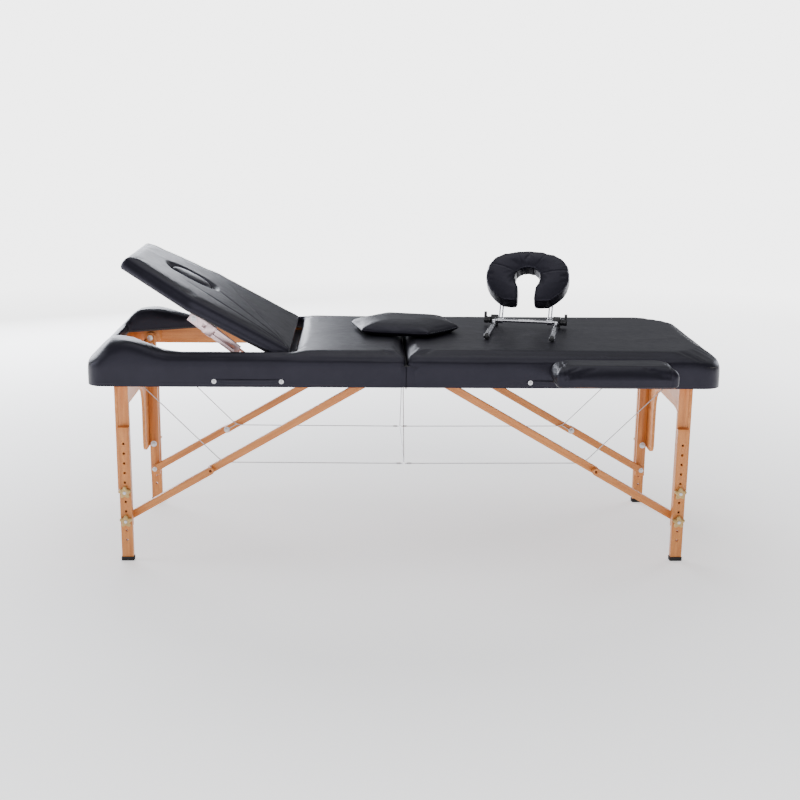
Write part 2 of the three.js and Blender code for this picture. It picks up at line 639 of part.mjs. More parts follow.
// The horseshoe, drawn with its mouth towards -Y, its far end up and its middle at the origin.
function horseshoe(grow) {
  const { height, halfWidth, opening, gap } = CUSHION;
  const top = height / 2 + grow;
  const wide = halfWidth + grow;
  const inner = opening - grow;
  const mouth = gap - grow;
  const shape = new THREE.Shape();
  shape.moveTo(mouth, -top + 12);
  shape.quadraticCurveTo(mouth + 2, -top, mouth + 18, -top);
  shape.lineTo(wide - 62, -top + 4);
  shape.bezierCurveTo(wide - 8, -top + 40, wide, -30, wide, 8);
  shape.bezierCurveTo(wide, top * 0.72, wide * 0.6, top, 0, top);
  shape.bezierCurveTo(-wide * 0.6, top, -wide, top * 0.72, -wide, 8);
  shape.bezierCurveTo(-wide, -30, -wide + 8, -top + 40, -wide + 62, -top + 4);
  shape.lineTo(-mouth - 18, -top);
  shape.quadraticCurveTo(-mouth - 2, -top, -mouth, -top + 12);
  shape.lineTo(-mouth - 2, -44);
  shape.bezierCurveTo(-inner - 4, -14, -inner - 4, 32, 0, 34 - grow);
  shape.bezierCurveTo(inner + 4, 32, inner + 4, -14, mouth + 2, -44);
  shape.closePath();
  return shape;
}

function addCradleHead(group) {
  const head = new THREE.Group();
  head.position.set(0, 0, CRADLE_BAR.z);
  head.rotation.x = THREE.MathUtils.degToRad(90 - CRADLE.lean);
  group.add(head);
  const { start, thickness, inset, rodRadius, rodEnd, hubRadius, hubStart, hubEnd } = CARRIER;
  const back = start + thickness;
  const centre = CUSHION.start + CUSHION.height / 2;
  const plate = slab(horseshoe(-inset), start, back).translate(0, centre, 0);
  const rods = CARRIER_RODS.map((x) => rodAlongY(x, 1, rodRadius, back, rodEnd, 8));
  const hubs = [-1, 1].map((end) => rodAlongX(0, 0, hubRadius, end * hubStart, end * hubEnd));
  const bore = rodAlongX(0, 0, CRADLE_BAR.radius + GAP, -hubEnd - 8, hubEnd + 8);
  addPart('cradle_arms', cut(join(plate, ...rods, ...hubs), bore), STEEL, head);
  const cushion = slab(horseshoe(0), back + GAP, back + GAP + CUSHION.thickness, CUSHION.edge);
  cushion.translate(0, centre, 0);
  addPart('cradle_cushion', cushion, VINYL, head);
}

function addSmallPad() {
  const { x, y, yaw, halfLength, shoulder, halfWidth, height, edge } = SMALL_PAD;
  const outline = polygon([
    [-halfLength, 0], [-shoulder, -halfWidth], [shoulder, -halfWidth],
    [halfLength, 0], [shoulder, halfWidth], [-shoulder, halfWidth],
  ]);
  const pad = slab(outline, GAP, height, edge);
  pad.rotateZ(THREE.MathUtils.degToRad(yaw)).translate(x, y, HEIGHT);
  addPart('small_pad', pad, VINYL);
}

addRightHalf();
addLeftHalf();
addHandle(1);
addHandle(-1);
addCentreHinge();
addLegs();
addBackrest();
addStrut('near', -1);
addStrut('far', 1);
addCables();
addArmrest();
const cradle = cradleGroup();
addCradleBase(cradle);
addCradleHead(cradle);
addSmallPad();

export default table;
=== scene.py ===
"""Looks of the portable massage table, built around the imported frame. Metres, +Z up."""
import json
import math

import bmesh
import bpy
from mathutils import Matrix, Vector, noise


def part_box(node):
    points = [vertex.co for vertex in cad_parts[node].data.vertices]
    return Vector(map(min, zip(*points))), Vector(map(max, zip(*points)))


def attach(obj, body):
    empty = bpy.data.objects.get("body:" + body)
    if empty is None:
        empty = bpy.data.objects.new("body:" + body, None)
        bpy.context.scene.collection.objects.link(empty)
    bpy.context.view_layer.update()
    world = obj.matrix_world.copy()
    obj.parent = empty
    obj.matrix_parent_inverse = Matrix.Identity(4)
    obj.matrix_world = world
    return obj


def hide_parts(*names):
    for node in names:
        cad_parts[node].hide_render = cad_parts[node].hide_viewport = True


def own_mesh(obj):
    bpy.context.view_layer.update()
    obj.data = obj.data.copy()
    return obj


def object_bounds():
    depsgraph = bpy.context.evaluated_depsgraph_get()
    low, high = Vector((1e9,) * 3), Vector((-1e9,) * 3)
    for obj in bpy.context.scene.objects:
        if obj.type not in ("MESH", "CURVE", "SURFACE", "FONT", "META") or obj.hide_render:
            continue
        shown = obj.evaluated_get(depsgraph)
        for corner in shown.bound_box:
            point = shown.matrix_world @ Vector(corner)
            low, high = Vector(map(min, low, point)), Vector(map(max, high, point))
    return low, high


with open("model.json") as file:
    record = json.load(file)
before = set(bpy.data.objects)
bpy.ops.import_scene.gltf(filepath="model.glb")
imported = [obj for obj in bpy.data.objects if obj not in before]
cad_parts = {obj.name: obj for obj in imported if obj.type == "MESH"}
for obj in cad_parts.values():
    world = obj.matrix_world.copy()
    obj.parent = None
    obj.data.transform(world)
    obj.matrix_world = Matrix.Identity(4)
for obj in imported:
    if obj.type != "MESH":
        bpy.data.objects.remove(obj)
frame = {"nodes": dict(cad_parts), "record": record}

CAD_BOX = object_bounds()
JOINTS = {joint["name"]: joint for joint in frame["record"]["behaviour"]["joints"]}
ENDS = {"left": -1, "right": 1}
ROWS = {"near": -1, "far": 1}

# ---- Places and sizes taken from the frame ----
PAD_LOW, PAD_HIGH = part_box("right_pad")
MIDDLE_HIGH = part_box("middle_pad")[1]
RIM_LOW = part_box("head_rim_pad")[0]
CENTRE_Y = (PAD_LOW.y + PAD_HIGH.y) / 2
HALF_WIDTH = (PAD_HIGH.y - PAD_LOW.y) / 2
UNDERSIDE = PAD_LOW.z
TOP = PAD_HIGH.z
DECK_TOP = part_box("right_deck")[1].z
BACKREST_PIVOT = Vector(JOINTS["backrest_tilt"]["pos_m"])
BACKREST_ANGLE = math.radians(28)
CRADLE_PIVOT = Vector(JOINTS["cradle_tilt"]["pos_m"])
CRADLE_YAW = math.radians(-11.4)
CRADLE_LEAN = math.radians(50)
COVER = 0.0025
GAP = 0.0003
SEAM_ANGLE = math.radians(32)


def turn_about(point, angle, axis):
    """The matrix that turns things about a point."""
    return Matrix.Translation(point) @ Matrix.Rotation(angle, 4, axis) @ Matrix.Translation(-point)


def smooth_step(low, high, value):
    """0 below low, 1 above high, with an even curve between. Works with low above high too."""
    share = min(1.0, max(0.0, (value - low) / (high - low)))
    return share * share * (3 - 2 * share)


def held_below(low, high):
    """Where a cover is fastened: all of it below one height and none of it above another."""
    return lambda place: 1 - smooth_step(low, high, place.z)


def face_y(node, side):
    """The Y of a node's near (-1) or far (1) face."""
    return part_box(node)[side > 0].y


def add_object(name, data):
    made = bpy.data.objects.new(name, data)
    bpy.context.collection.objects.link(made)
    return made


# ---- Camera, light and floor ----
def make_camera():
    place = Vector((-0.133, -4.130, 1.473))
    yaw, pitch, roll = math.radians(-1.71), math.radians(13.64), math.radians(-0.65)
    turn = (
        Matrix.Rotation(yaw, 3, "Z")
        @ Matrix.Rotation(-pitch, 3, "X")
        @ Matrix.Rotation(roll, 3, "Y")
        @ Matrix.Rotation(math.pi / 2, 3, "X")
    )
    data = bpy.data.cameras.new("camera")
    data.lens = 58.2
    data.sensor_width = 36
    data.clip_end = 50
    camera = add_object("camera", data)
    camera.matrix_world = Matrix.Translation(place) @ turn.to_4x4()
    bpy.context.scene.camera = camera


def make_area_light(name, place, target, size, power, color=(1, 1, 1)):
    data = bpy.data.lights.new(name, "AREA")
    data.shape = "RECTANGLE"
    data.size, data.size_y = size
    data.energy = power
    data.color = color
    light = add_object(name, data)
    light.location = place
    light.rotation_euler = (Vector(target) - Vector(place)).to_track_quat("-Z", "Y").to_euler()


BACKDROP_STRENGTH = 5.5
ROOM_STRENGTH = 0.42


def make_world():
    """A white backdrop for the camera, and a dimmer, even room for the light that falls on the table."""
    world = bpy.data.worlds.new("studio")
    world.use_nodes = True
    room = world.node_tree.nodes["Background"]
    room.inputs["Color"].default_value = (0.93, 0.95, 1.0, 1)
    room.inputs["Strength"].default_value = ROOM_STRENGTH
    backdrop = add_node(world, "ShaderNodeBackground", Strength=BACKDROP_STRENGTH)
    path = add_node(world, "ShaderNodeLightPath")
    choose = add_node(world, "ShaderNodeMixShader")
    wire(world, path.outputs["Is Camera Ray"], choose.inputs["Fac"])
    wire(world, room.outputs["Background"], choose.inputs[1])
    wire(world, backdrop.outputs["Background"], choose.inputs[2])
    wire(world, choose.outputs["Shader"], world.node_tree.nodes["World Output"].inputs["Surface"])
    bpy.context.scene.world = world


def make_studio():
    make_world()
    blue_white = (0.90, 0.93, 1.0)
    make_area_light("back_left", (-2.2, 3.8, 1.5), (-0.4, 0, 0.6), (3.6, 1.6), 215, blue_white)
    make_area_light("left", (-3.6, -0.2, 1.5), (-0.7, 0, 0.8), (1.4, 1.0), 34, blue_white)
    make_area_light("front", (-0.6, -4.0, 1.9), (0, 0, 0.2), (3.2, 1.2), 34)
    make_area_light("above", (0.2, 0.3, 3.6), (0, 0, 0), (3.0, 3.0), 40)
    make_area_light("far_right", (3.6, 2.4, 1.5), (0.6, 0, 0.6), (1.6, 1.2), 50, blue_white)


def make_floor():
    mesh = bpy.data.meshes.new("floor")
    reach = 14
    mesh.from_pydata([(-reach, -reach, 0), (reach, -reach, 0), (reach, reach, 0), (-reach, reach, 0)],
                     [], [(0, 1, 2, 3)])
    floor = add_object("floor", mesh)
    floor.location.z = -0.0005
    mesh.materials.append(floor_finish())


# ---- Materials ----
def new_finish(name, **sockets):
    """A material with the given sockets of its shader set."""
    material = bpy.data.materials.new(name)
    material.use_nodes = True
    for socket, value in sockets.items():
        shader_input(material, socket.replace("_", " ")).default_value = value
    return material


def shader_input(material, socket):
    return material.node_tree.nodes["Principled BSDF"].inputs[socket]


def add_node(owner, kind, **values):
    """A node in a material or world, with its sockets or settings given by name."""
    node = owner.node_tree.nodes.new(kind)
    for key, value in values.items():
        if key in node.inputs:
            node.inputs[key].default_value = value
        else:
            setattr(node, key, value)
    return node


def wire(owner, start, end):
    owner.node_tree.links.new(start, end)


def object_coordinates(material, rotation=(0, 0, 0), stretch=(1, 1, 1)):
    """Coordinates fixed to the piece, turned so that X runs along the grain and stretched."""
    source = add_node(material, "ShaderNodeTexCoord")
    mapping = add_node(material, "ShaderNodeMapping", vector_type="TEXTURE")
    mapping.inputs["Rotation"].default_value = rotation
    mapping.inputs["Scale"].default_value = stretch
    wire(material, source.outputs["Object"], mapping.inputs["Vector"])
    return mapping.outputs["Vector"]


def add_noise(material, vector, scale, detail=3, roughness=0.55):
    node = add_node(material, "ShaderNodeTexNoise", Scale=scale, Detail=detail, Roughness=roughness)
    wire(material, vector, node.inputs["Vector"])
    return node.outputs["Fac"]


def add_ramp(material, factor, *stops):
    node = add_node(material, "ShaderNodeValToRGB")
    ramp = node.color_ramp
    while len(ramp.elements) < len(stops):
        ramp.elements.new(0.5)
    for element, (position, color) in zip(ramp.elements, stops):
        element.position = position
        element.color = (*color, 1)
    wire(material, factor, node.inputs["Fac"])
    return node.outputs["Color"]


def set_colour(material, factor, *stops):
    wire(material, add_ramp(material, factor, *stops), shader_input(material, "Base Color"))


def set_roughness(material, factor, low, high):
    node = add_node(material, "ShaderNodeMapRange")
    node.inputs["To Min"].default_value = low
    node.inputs["To Max"].default_value = high
    wire(material, factor, node.inputs["Value"])
    wire(material, node.outputs["Result"], shader_input(material, "Roughness"))


def add_bump(material, height, strength, distance, normal=None):
    node = add_node(material, "ShaderNodeBump", Strength=strength, Distance=distance)
    wire(material, height, node.inputs["Height"])
    if normal:
        wire(material, normal, node.inputs["Normal"])
    wire(material, node.outputs["Normal"], shader_input(material, "Normal"))
    return node.outputs["Normal"]


GLOW_START = 1.0
GLOW_END = 6.0


def floor_finish():
    """A pale floor that glows a little, and more so far from the table."""
    material = new_finish("pale_floor", Roughness=0.8, Emission_Strength=1.0)
    reach = add_node(material, "ShaderNodeVectorMath", operation="LENGTH")
    wire(material, object_coordinates(material), reach.inputs[0])
    glow = add_node(material, "ShaderNodeMapRange")
    glow.inputs["From Min"].default_value = GLOW_START
    glow.inputs["From Max"].default_value = GLOW_END
    wire(material, reach.outputs["Value"], glow.inputs["Value"])
    light = add_ramp(material, glow.outputs["Result"], (0.0, (0.62, 0.62, 0.62)), (1.0, (4.0, 4.0, 4.0)))
    wire(material, light, shader_input(material, "Emission Color"))
    cloud = add_noise(material, object_coordinates(material), 0.8)
    set_colour(material, cloud, (0.3, (0.88, 0.88, 0.885)), (0.7, (0.92, 0.92, 0.92)))
    return material


def vinyl_finish():
    """Black vinyl: a fine cell grain over soft folds, with a violet cast in its shine."""
    dark, light = (0.0035, 0.0032, 0.0052), (0.0075, 0.0070, 0.0105)
    material = new_finish("black_vinyl", IOR=1.38)
    shader_input(material, "Specular Tint").default_value = (0.80, 0.78, 1.0, 1)
    vector = object_coordinates(material)
    cloud = add_noise(material, vector, 9)
    set_colour(material, cloud, (0.3, dark), (0.75, light))
    set_roughness(material, add_noise(material, vector, 42), 0.36, 0.48)
    cells = add_node(material, "ShaderNodeTexVoronoi", Scale=620, feature="DISTANCE_TO_EDGE")
    wire(material, vector, cells.inputs["Vector"])
    grain = add_bump(material, cells.outputs["Distance"], 0.12, 0.0004)
    folds = add_noise(material, object_coordinates(material, stretch=(1.0, 1.0, 2.2)), 26, 4)
    add_bump(material, folds, 0.22, 0.0035, grain)
    return material


def wood_finish(name, grain_turn, pale=(0.70, 0.270, 0.066), dark=(0.49, 0.155, 0.030)):
    """Lacquered beech. The grain runs along X after the given turn."""
    material = new_finish(name, IOR=1.46, Coat_Weight=0.15, Coat_Roughness=0.3)
    along = object_coordinates(material, grain_turn, (14, 1, 1))
    rings = add_noise(material, along, 95, 5, 0.6)
    colour = add_ramp(material, rings, (0.28, dark), (0.5, tuple((a + b) / 2 for a, b in zip(pale, dark))),
                      (0.72, pale))
    flecks = add_noise(material, object_coordinates(material, grain_turn, (5, 1, 1)), 900, 2)
    mix = add_node(material, "ShaderNodeMix", data_type="RGBA", blend_type="MULTIPLY")
    mix.inputs["Factor"].default_value = 0.35
    wire(material, colour, mix.inputs["A"])
    wire(material, add_ramp(material, flecks, (0.36, (0.62, 0.5, 0.42)), (0.52, (1, 1, 1))), mix.inputs["B"])
    wire(material, mix.outputs["Result"], shader_input(material, "Base Color"))
    set_roughness(material, rings, 0.34, 0.5)
    add_bump(material, flecks, 0.15, 0.0003)
    return material


def cloth_backing_finish():
    material = new_finish("dark_backing", Roughness=0.85, Sheen_Weight=0.2)
    vector = object_coordinates(material)
    weave = add_node(material, "ShaderNodeTexVoronoi", Scale=420)
    wire(material, vector, weave.inputs["Vector"])
    distance = weave.outputs["Distance"]
    set_colour(material, distance, (0.1, (0.022, 0.02, 0.019)), (0.7, (0.05, 0.046, 0.043)))
    add_bump(material, distance, 0.4, 0.0006)
    return material


def plastic_finish(name, dark, light, low=0.3, high=0.45):
    material = new_finish(name, IOR=1.5)
    vector = object_coordinates(material)
    flow = add_noise(material, vector, 60)
    set_colour(material, flow, (0.3, dark), (0.7, light))
    set_roughness(material, flow, low, high)
    add_bump(material, add_noise(material, vector, 1500, 1), 0.08, 0.0002)
    return material


def grained_finish(name, dark, light, rough, scale, detail, bump, stretch, **sockets):
    """One grain sets the colour, the roughness (low, high) and the bump (strength, depth)."""
    material = new_finish(name, **sockets)
    grain = add_noise(material, object_coordinates(material, stretch=stretch), scale, detail)
    set_colour(material, grain, (0.3, dark), (0.7, light))
    set_roughness(material, grain, *rough)
    add_bump(material, grain, *bump)
    return material


def metal_finish(name, dark, light, low, high, scale=700):
    """Metal with fine scratches drawn out along Z."""
    return grained_finish(name, dark, light, (low, high), scale, 2, (0.06, 0.0002), (1, 1, 12), Metallic=1.0)


def strand_finish():
    """Twisted steel strand: fine slanting ridges along the cable."""
    material = new_finish("steel_strand", Metallic=0.85)
    vector = object_coordinates(material, (0.5, 0.6, 0.2))
    ridges = add_node(material, "ShaderNodeTexWave", Scale=420, Distortion=0.6)
    wire(material, vector, ridges.inputs["Vector"])
    height = ridges.outputs["Fac"]
    set_colour(material, height, (0.2, (0.42, 0.42, 0.44)), (0.8, (0.72, 0.72, 0.74)))
    set_roughness(material, height, 0.3, 0.5)
    add_bump(material, height, 0.4, 0.0004)
    return material


GRAIN_ALONG_X = (0, 0, 0)
GRAIN_ALONG_Y = (0, 0, math.pi / 2)
GRAIN_ALONG_Z = (0, -math.pi / 2, 0)
VINYL = vinyl_finish()
WOOD_X = wood_finish("beech_rail", GRAIN_ALONG_X)
WOOD_Y = wood_finish("beech_panel", GRAIN_ALONG_Y, (0.72, 0.285, 0.074), (0.52, 0.175, 0.038))
WOOD_Z = wood_finish("beech_leg", GRAIN_ALONG_Z)
BACKING = cloth_backing_finish()
RUBBER = grained_finish("black_rubber", (0.012, 0.011, 0.011), (0.028, 0.026, 0.026),
                        (0.6, 0.85), 600, 3, (0.2, 0.0004), (1, 1, 1), IOR=1.48)
GOLD = plastic_finish("gold_plastic", (0.42, 0.255, 0.075), (0.60, 0.40, 0.15))
BLACK = plastic_finish("black_plastic", (0.012, 0.012, 0.014), (0.026, 0.026, 0.03))
STEEL = metal_finish("zinc_steel", (0.46, 0.46, 0.48), (0.66, 0.66, 0.68), 0.22, 0.4)
CHROME = metal_finish("chrome", (0.55, 0.55, 0.58), (0.74, 0.74, 0.77), 0.08, 0.16, 300)
ROSE = metal_finish("rose_steel", (0.55, 0.40, 0.42), (0.76, 0.60, 0.62), 0.26, 0.42)
STRAND = strand_finish()
THREAD = plastic_finish("thread", (0.03, 0.03, 0.035), (0.06, 0.06, 0.07), 0.5, 0.7)


# ---- Mesh tools ----
def smooth_faces(piece, sharp=SEAM_ANGLE):
    piece.data.shade_smooth()
    piece.data.set_sharp_from_angle(angle=sharp)


def make_piece(name, bm, material, smooth=True):
    bmesh.ops.recalc_face_normals(bm, faces=bm.faces)
    mesh = bpy.data.meshes.new(name)
    bm.to_mesh(mesh)
    bm.free()
    mesh.materials.append(material)
    piece = add_object(name, mesh)
    if smooth:
        smooth_faces(piece)
    return piece


def place_piece(piece, body, slot, *nodes):
    """Ride a body and, where it stands for CAD nodes, replace them. The slot argument is not used."""
    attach(piece, body)
    if nodes:
        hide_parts(*nodes)
    return piece


def add_piece(name, bm, material, body, slot, *nodes):
    return place_piece(make_piece(name, bm, material), body, slot, *nodes)


def transform(bm, matrix):
    bmesh.ops.transform(bm, matrix=matrix, verts=bm.verts)


def loft(bm, rings):
    """Join equal rings of points by quads, with a face on the first and last ring."""
    loops = [[bm.verts.new(point) for point in ring] for ring in rings]
    count = len(loops[0])
    for low, high in zip(loops, loops[1:]):
        for i in range(count):
            j = (i + 1) % count
            bm.faces.new((low[i], low[j], high[j], high[i]))
    bm.faces.new(reversed(loops[0]))
    bm.faces.new(loops[-1])


def lofted(rings):
    bm = bmesh.new()
    loft(bm, rings)
    return bm


def at_height(points, z):
    """Flat points as a ring at one height."""
    return [Vector((point.x, point.y, z)) for point in points]


def circle(centre, across, up, radius, sides):
    return [
        centre + across * radius * math.cos(2 * math.pi * i / sides)
        + up * radius * math.sin(2 * math.pi * i / sides)
        for i in range(sides)
    ]


def side_vectors(direction):
    direction = direction.normalized()
    across = direction.orthogonal().normalized()
    return across, direction.cross(across)


def add_lathe(bm, start, direction, profile, sides=28):
    """Turn a profile of (distance along, radius) pairs about a line."""
    start, direction = Vector(start), Vector(direction).normalized()
    across, up = side_vectors(direction)
    loft(bm, [circle(start + direction * along, across, up, radius, sides) for along, radius in profile])


def add_rod(bm, start, end, radius, sides=24, edge=0.0008):
    """A round rod with softened ends."""
    start, end = Vector(start), Vector(end)
    length = (end - start).length
    add_lathe(bm, start, end - start, [
        (0, radius - edge), (edge, radius), (length - edge, radius), (length, radius - edge)], sides)


def add_tube(bm, points, radius, sides=14):
    """A tube along a route, turned as little as possible from point to point."""
    points = [Vector(point) for point in points]
    heading = (points[1] - points[0]).normalized()
    across, _ = side_vectors(heading)
    rings = []
    for i, point in enumerate(points):
        before, after = points[max(i - 1, 0)], points[min(i + 1, len(points) - 1)]
        heading = (after - before).normalized()
        across = (across - heading * across.dot(heading)).normalized()
        rings.append(circle(point, across, heading.cross(across), radius, sides))
    loft(bm, rings)


def add_block(bm, low, high, edge=0.001):
    """A box with softened edges."""
    made = bmesh.ops.create_cube(bm, size=1)["verts"]
    low, high = Vector(low), Vector(high)
    for vert in made:
        vert.co = Vector([low[k] if vert.co[k] < 0 else high[k] for k in range(3)])
    edges = list({e for vert in made for e in vert.link_edges})
    bmesh.ops.bevel(bm, geom=edges, offset=edge, segments=2, affect="EDGES", profile=0.5)


def add_screw(bm, place, direction, radius=0.0048):
    """A domed screw head with a cross recess, standing on a thin washer."""
    add_lathe(bm, place, direction, [
        (0, radius * 1.5), (0.0007, radius * 1.55), (0.0009, radius), (0.0018, radius * 0.95),
        (0.0029, radius * 0.62), (0.0031, radius * 0.3), (0.0022, radius * 0.18), (0.0021, 0.0001)])


def add_hex_nut(bm, place, direction, radius=0.0072, height=0.0055):
    """A washer, a hexagonal nut and the end of its bolt."""
    place, direction = Vector(place), Vector(direction).normalized()
    add_lathe(bm, place, direction, [
        (0, radius * 1.45), (0.0012, radius * 1.5), (0.0013, radius * 1.0)])
    add_lathe(bm, place + direction * 0.0013, direction, [
        (0, radius * 0.94), (0.0006, radius), (height - 0.0006, radius), (height, radius * 0.9)], 6)
    add_lathe(bm, place + direction * height, direction, [
        (0, 0.0038), (0.003, 0.0038), (0.0038, 0.003)], 20)


def rounded_rectangle(x0, x1, y0, y1, low_radius, high_radius, arc=10, steps=(24, 18)):
    """Points round a rectangle whose X ends have their own corner radius, evenly matched."""
    corners = [
        (x0 + low_radius, y0 + low_radius, low_radius, math.pi),
        (x1 - high_radius, y0 + high_radius, high_radius, 1.5 * math.pi),
        (x1 - high_radius, y1 - high_radius, high_radius, 0),
        (x0 + low_radius, y1 - low_radius, low_radius, 0.5 * math.pi),
    ]
    long_steps, wide_steps = steps
    points = []
    for k, (cx, cy, radius, start) in enumerate(corners):
        for i in range(arc + 1):
            angle = start + 0.5 * math.pi * i / arc
            points.append(Vector((cx + radius * math.cos(angle), cy + radius * math.sin(angle))))
        nx, ny, next_radius, next_start = corners[(k + 1) % 4]
        target = Vector((nx + next_radius * math.cos(next_start), ny + next_radius * math.sin(next_start)))
        last = points[-1]
        count = long_steps if k % 2 == 0 else wide_steps
        points += [last.lerp(target, i / count) for i in range(1, count)]
    return points


def apply_modifiers(piece):
    graph = bpy.context.evaluated_depsgraph_get()
    mesh = bpy.data.meshes.new_from_object(piece.evaluated_get(graph), depsgraph=graph)
    piece.modifiers.clear()
    old = piece.data
    piece.data = mesh
    bpy.data.meshes.remove(old)


def subtract(piece, bm):
    """Cut a closed shape out of a piece."""
    cutter = make_piece("cutter", bm, VINYL, smooth=False)
    tool = piece.modifiers.new("cut", "BOOLEAN")
    tool.operation = "DIFFERENCE"
    tool.solver = "MANIFOLD"
    tool.object = cutter
    apply_modifiers(piece)
    bpy.data.objects.remove(cutter)


def move_points(piece, offset):
    """Move every point by offset(place, normal)."""
    mesh = piece.data
    normals = [vert.normal.copy() for vert in mesh.vertices]
    for vert, normal in zip(mesh.vertices, normals):
        vert.co += offset(vert.co, normal)
    mesh.update()


RELAX_ROUNDS = 3


def relax(piece):
    """Even out the steps that voxels leave."""
    bm = bmesh.new()
    bm.from_mesh(piece.data)
    for _ in range(RELAX_ROUNDS):
        bmesh.ops.smooth_vert(bm, verts=bm.verts, factor=0.5,
                              use_axis_x=True, use_axis_y=True, use_axis_z=True)
    bm.to_mesh(piece.data)
    bm.free()


# ---- Padding ----
# A profile below is a list of (share of the height, scale or inset) pairs, from the bottom up.
CLOTH_FRAMES = 20
CLOTH_PRESSURE = 4


def remesh(piece, voxel):
    tool = piece.modifiers.new("remesh", "REMESH")
    tool.mode = "VOXEL"
    tool.voxel_size = voxel
    apply_modifiers(piece)
    relax(piece)


def inflate(piece, cap, held):
    """Blow the cover up as cloth. held(place) is 1 where it is fastened, and cap limits the swell."""
    mesh = piece.data
    start = [vert.co.copy() for vert in mesh.vertices]
    group = piece.vertex_groups.new(name="held")
    for vert in mesh.vertices:
        weight = held(vert.co)
        if weight > 0:
            group.add([vert.index], weight, "REPLACE")
    cloth = piece.modifiers.new("cloth", "CLOTH")
    settings = cloth.settings
    settings.use_pressure = True
    settings.uniform_pressure_force = CLOTH_PRESSURE
    settings.effector_weights.gravity = 0
    settings.vertex_group_mass = group.name
    settings.quality = 4
    cloth.point_cache.frame_start = 1
    cloth.point_cache.frame_end = CLOTH_FRAMES
    for step in range(1, CLOTH_FRAMES + 1):
        bpy.context.scene.frame_set(step)
        bpy.context.view_layer.update()
    apply_modifiers(piece)
    for vert, first in zip(piece.data.vertices, start):
        swell = vert.co - first
        if swell.length > cap:
            vert.co = first + swell.normalized() * cap
    piece.vertex_groups.clear()
    bpy.context.scene.frame_set(1)


def subdivide(piece):
    tool = piece.modifiers.new("subdivision", "SUBSURF")
    tool.levels = tool.render_levels = 1
    apply_modifiers(piece)


def pad_piece(name, bm, voxel, cap, held):
    piece = make_piece(name, bm, VINYL, smooth=False)
    remesh(piece, voxel)
    inflate(piece, cap, held)
    subdivide(piece)
    return piece


def declare_pad(piece, body, fill, *nodes):
    piece.data.materials.clear()
    piece.data.materials.append(VINYL)
    smooth_faces(piece, math.radians(50))
    place_piece(piece, body, "vinyl", *nodes)


def copy_solid(node, shrink=0.0, turn=None):
    """A bmesh copy of a CAD node's mesh, drawn in by a small distance and turned if asked."""
    bm = bmesh.new()
    bm.from_mesh(frame["nodes"][node].data)
    bmesh.ops.remove_doubles(bm, verts=bm.verts, dist=1e-5)
    if turn:
        transform(bm, turn)
    if shrink:
        bmesh.ops.recalc_face_normals(bm, faces=bm.faces)
        bm.normal_update()
        moves = [(vert, vert.normal.copy()) for vert in bm.verts]
        for vert, normal in moves:
            vert.co -= normal * shrink
    return bm


def wrinkle(place, reach, height, seed=0.0):
    """Soft creases: ridged noise, drawn out along X."""
    spot = Vector((place.x / (reach * 1.8) + seed, place.y / reach, place.z / reach))
    return (0.5 - abs(noise.noise(spot))) * height


# ---- The table's pads ----
# How the end corners of a cover widen with height: (height share, inset, corner radius).
COVER_PROFILE = [
    (-0.20, 0.0, 0.055), (0.00, 0.0, 0.055), (0.30, 0.0, 0.055), (0.60, 0.0, 0.057),
    (0.74, 0.0010, 0.070), (0.86, 0.0075, 0.100), (0.95, 0.0175, 0.122), (1.00, 0.034, 0.136),
]
SEAM_RADIUS = 0.003
SEAM_SHARE = 0.36
TRIM_REACH = 0.06
HOLLOW_RADIUS = 0.0575


def cover_block(x0, x1, end, top):
    """The upholstered block of one half. end is -1 or 1, the side with the big corners."""
    rings = []
    for share, inset, radius in COVER_PROFILE:
        z = UNDERSIDE + share * (top - UNDERSIDE)
        seam_inset = min(inset * SEAM_SHARE, 0.010)
        low_inset = inset if end < 0 else seam_inset
        high_inset = inset if end > 0 else seam_inset
        low_radius = radius if end < 0 else SEAM_RADIUS
        high_radius = radius if end > 0 else SEAM_RADIUS
        ring = rounded_rectangle(x0 + low_inset, x1 - high_inset, CENTRE_Y - HALF_WIDTH + inset,
                                 CENTRE_Y + HALF_WIDTH - inset, low_radius, high_radius)
        rings.append(at_height(ring, z))
    return lofted(rings)


def frame_hollow(x0, x1, end):
    """The room inside a cover for the frame, the deck and the folded legs."""
    rings = []
    inside = COVER - GAP
    for z in (UNDERSIDE - 0.02, DECK_TOP + GAP):
        low = x0 + inside if end < 0 else x0 - 0.01
        high = x1 - inside if end > 0 else x1 + 0.01
        low_radius = HOLLOW_RADIUS if end < 0 else 0.001
        high_radius = HOLLOW_RADIUS if end > 0 else 0.001
        ring = rounded_rectangle(low, high, CENTRE_Y - HALF_WIDTH + inside, CENTRE_Y + HALF_WIDTH - inside,
                                 low_radius, high_radius)
        rings.append(at_height(ring, z))
    return lofted(rings)


FACING = 0.0012
FACING_WRAP = 0.034
FACING_GAP = 0.0002


def build_seam_facing(end):
    """The strip of cover folded over a centre rail, wrapped round its two corners."""
    side = ENDS[end]
    face, back, wrap = side * FACING_GAP, side * (FACING_GAP + FACING), side * FACING_WRAP
    outer = HALF_WIDTH - FACING_GAP
    low_z = UNDERSIDE + GAP
    bm = bmesh.new()
    add_block(bm, (min(face, back), CENTRE_Y - outer, low_z),
              (max(face, back), CENTRE_Y + outer, DECK_TOP), 0.0003)
    for y_side in ROWS.values():
        y0, y1 = CENTRE_Y + y_side * outer, CENTRE_Y + y_side * (HALF_WIDTH - COVER + GAP)
        add_block(bm, (min(face, wrap), min(y0, y1), low_z),
                  (max(face, wrap), max(y0, y1), DECK_TOP), 0.0003)
    add_piece(f"{end}_seam_facing", bm, VINYL, f"{end}_half", "vinyl")


RAIL_WIDTH = 0.029
RAIL_TOP = 0.6337


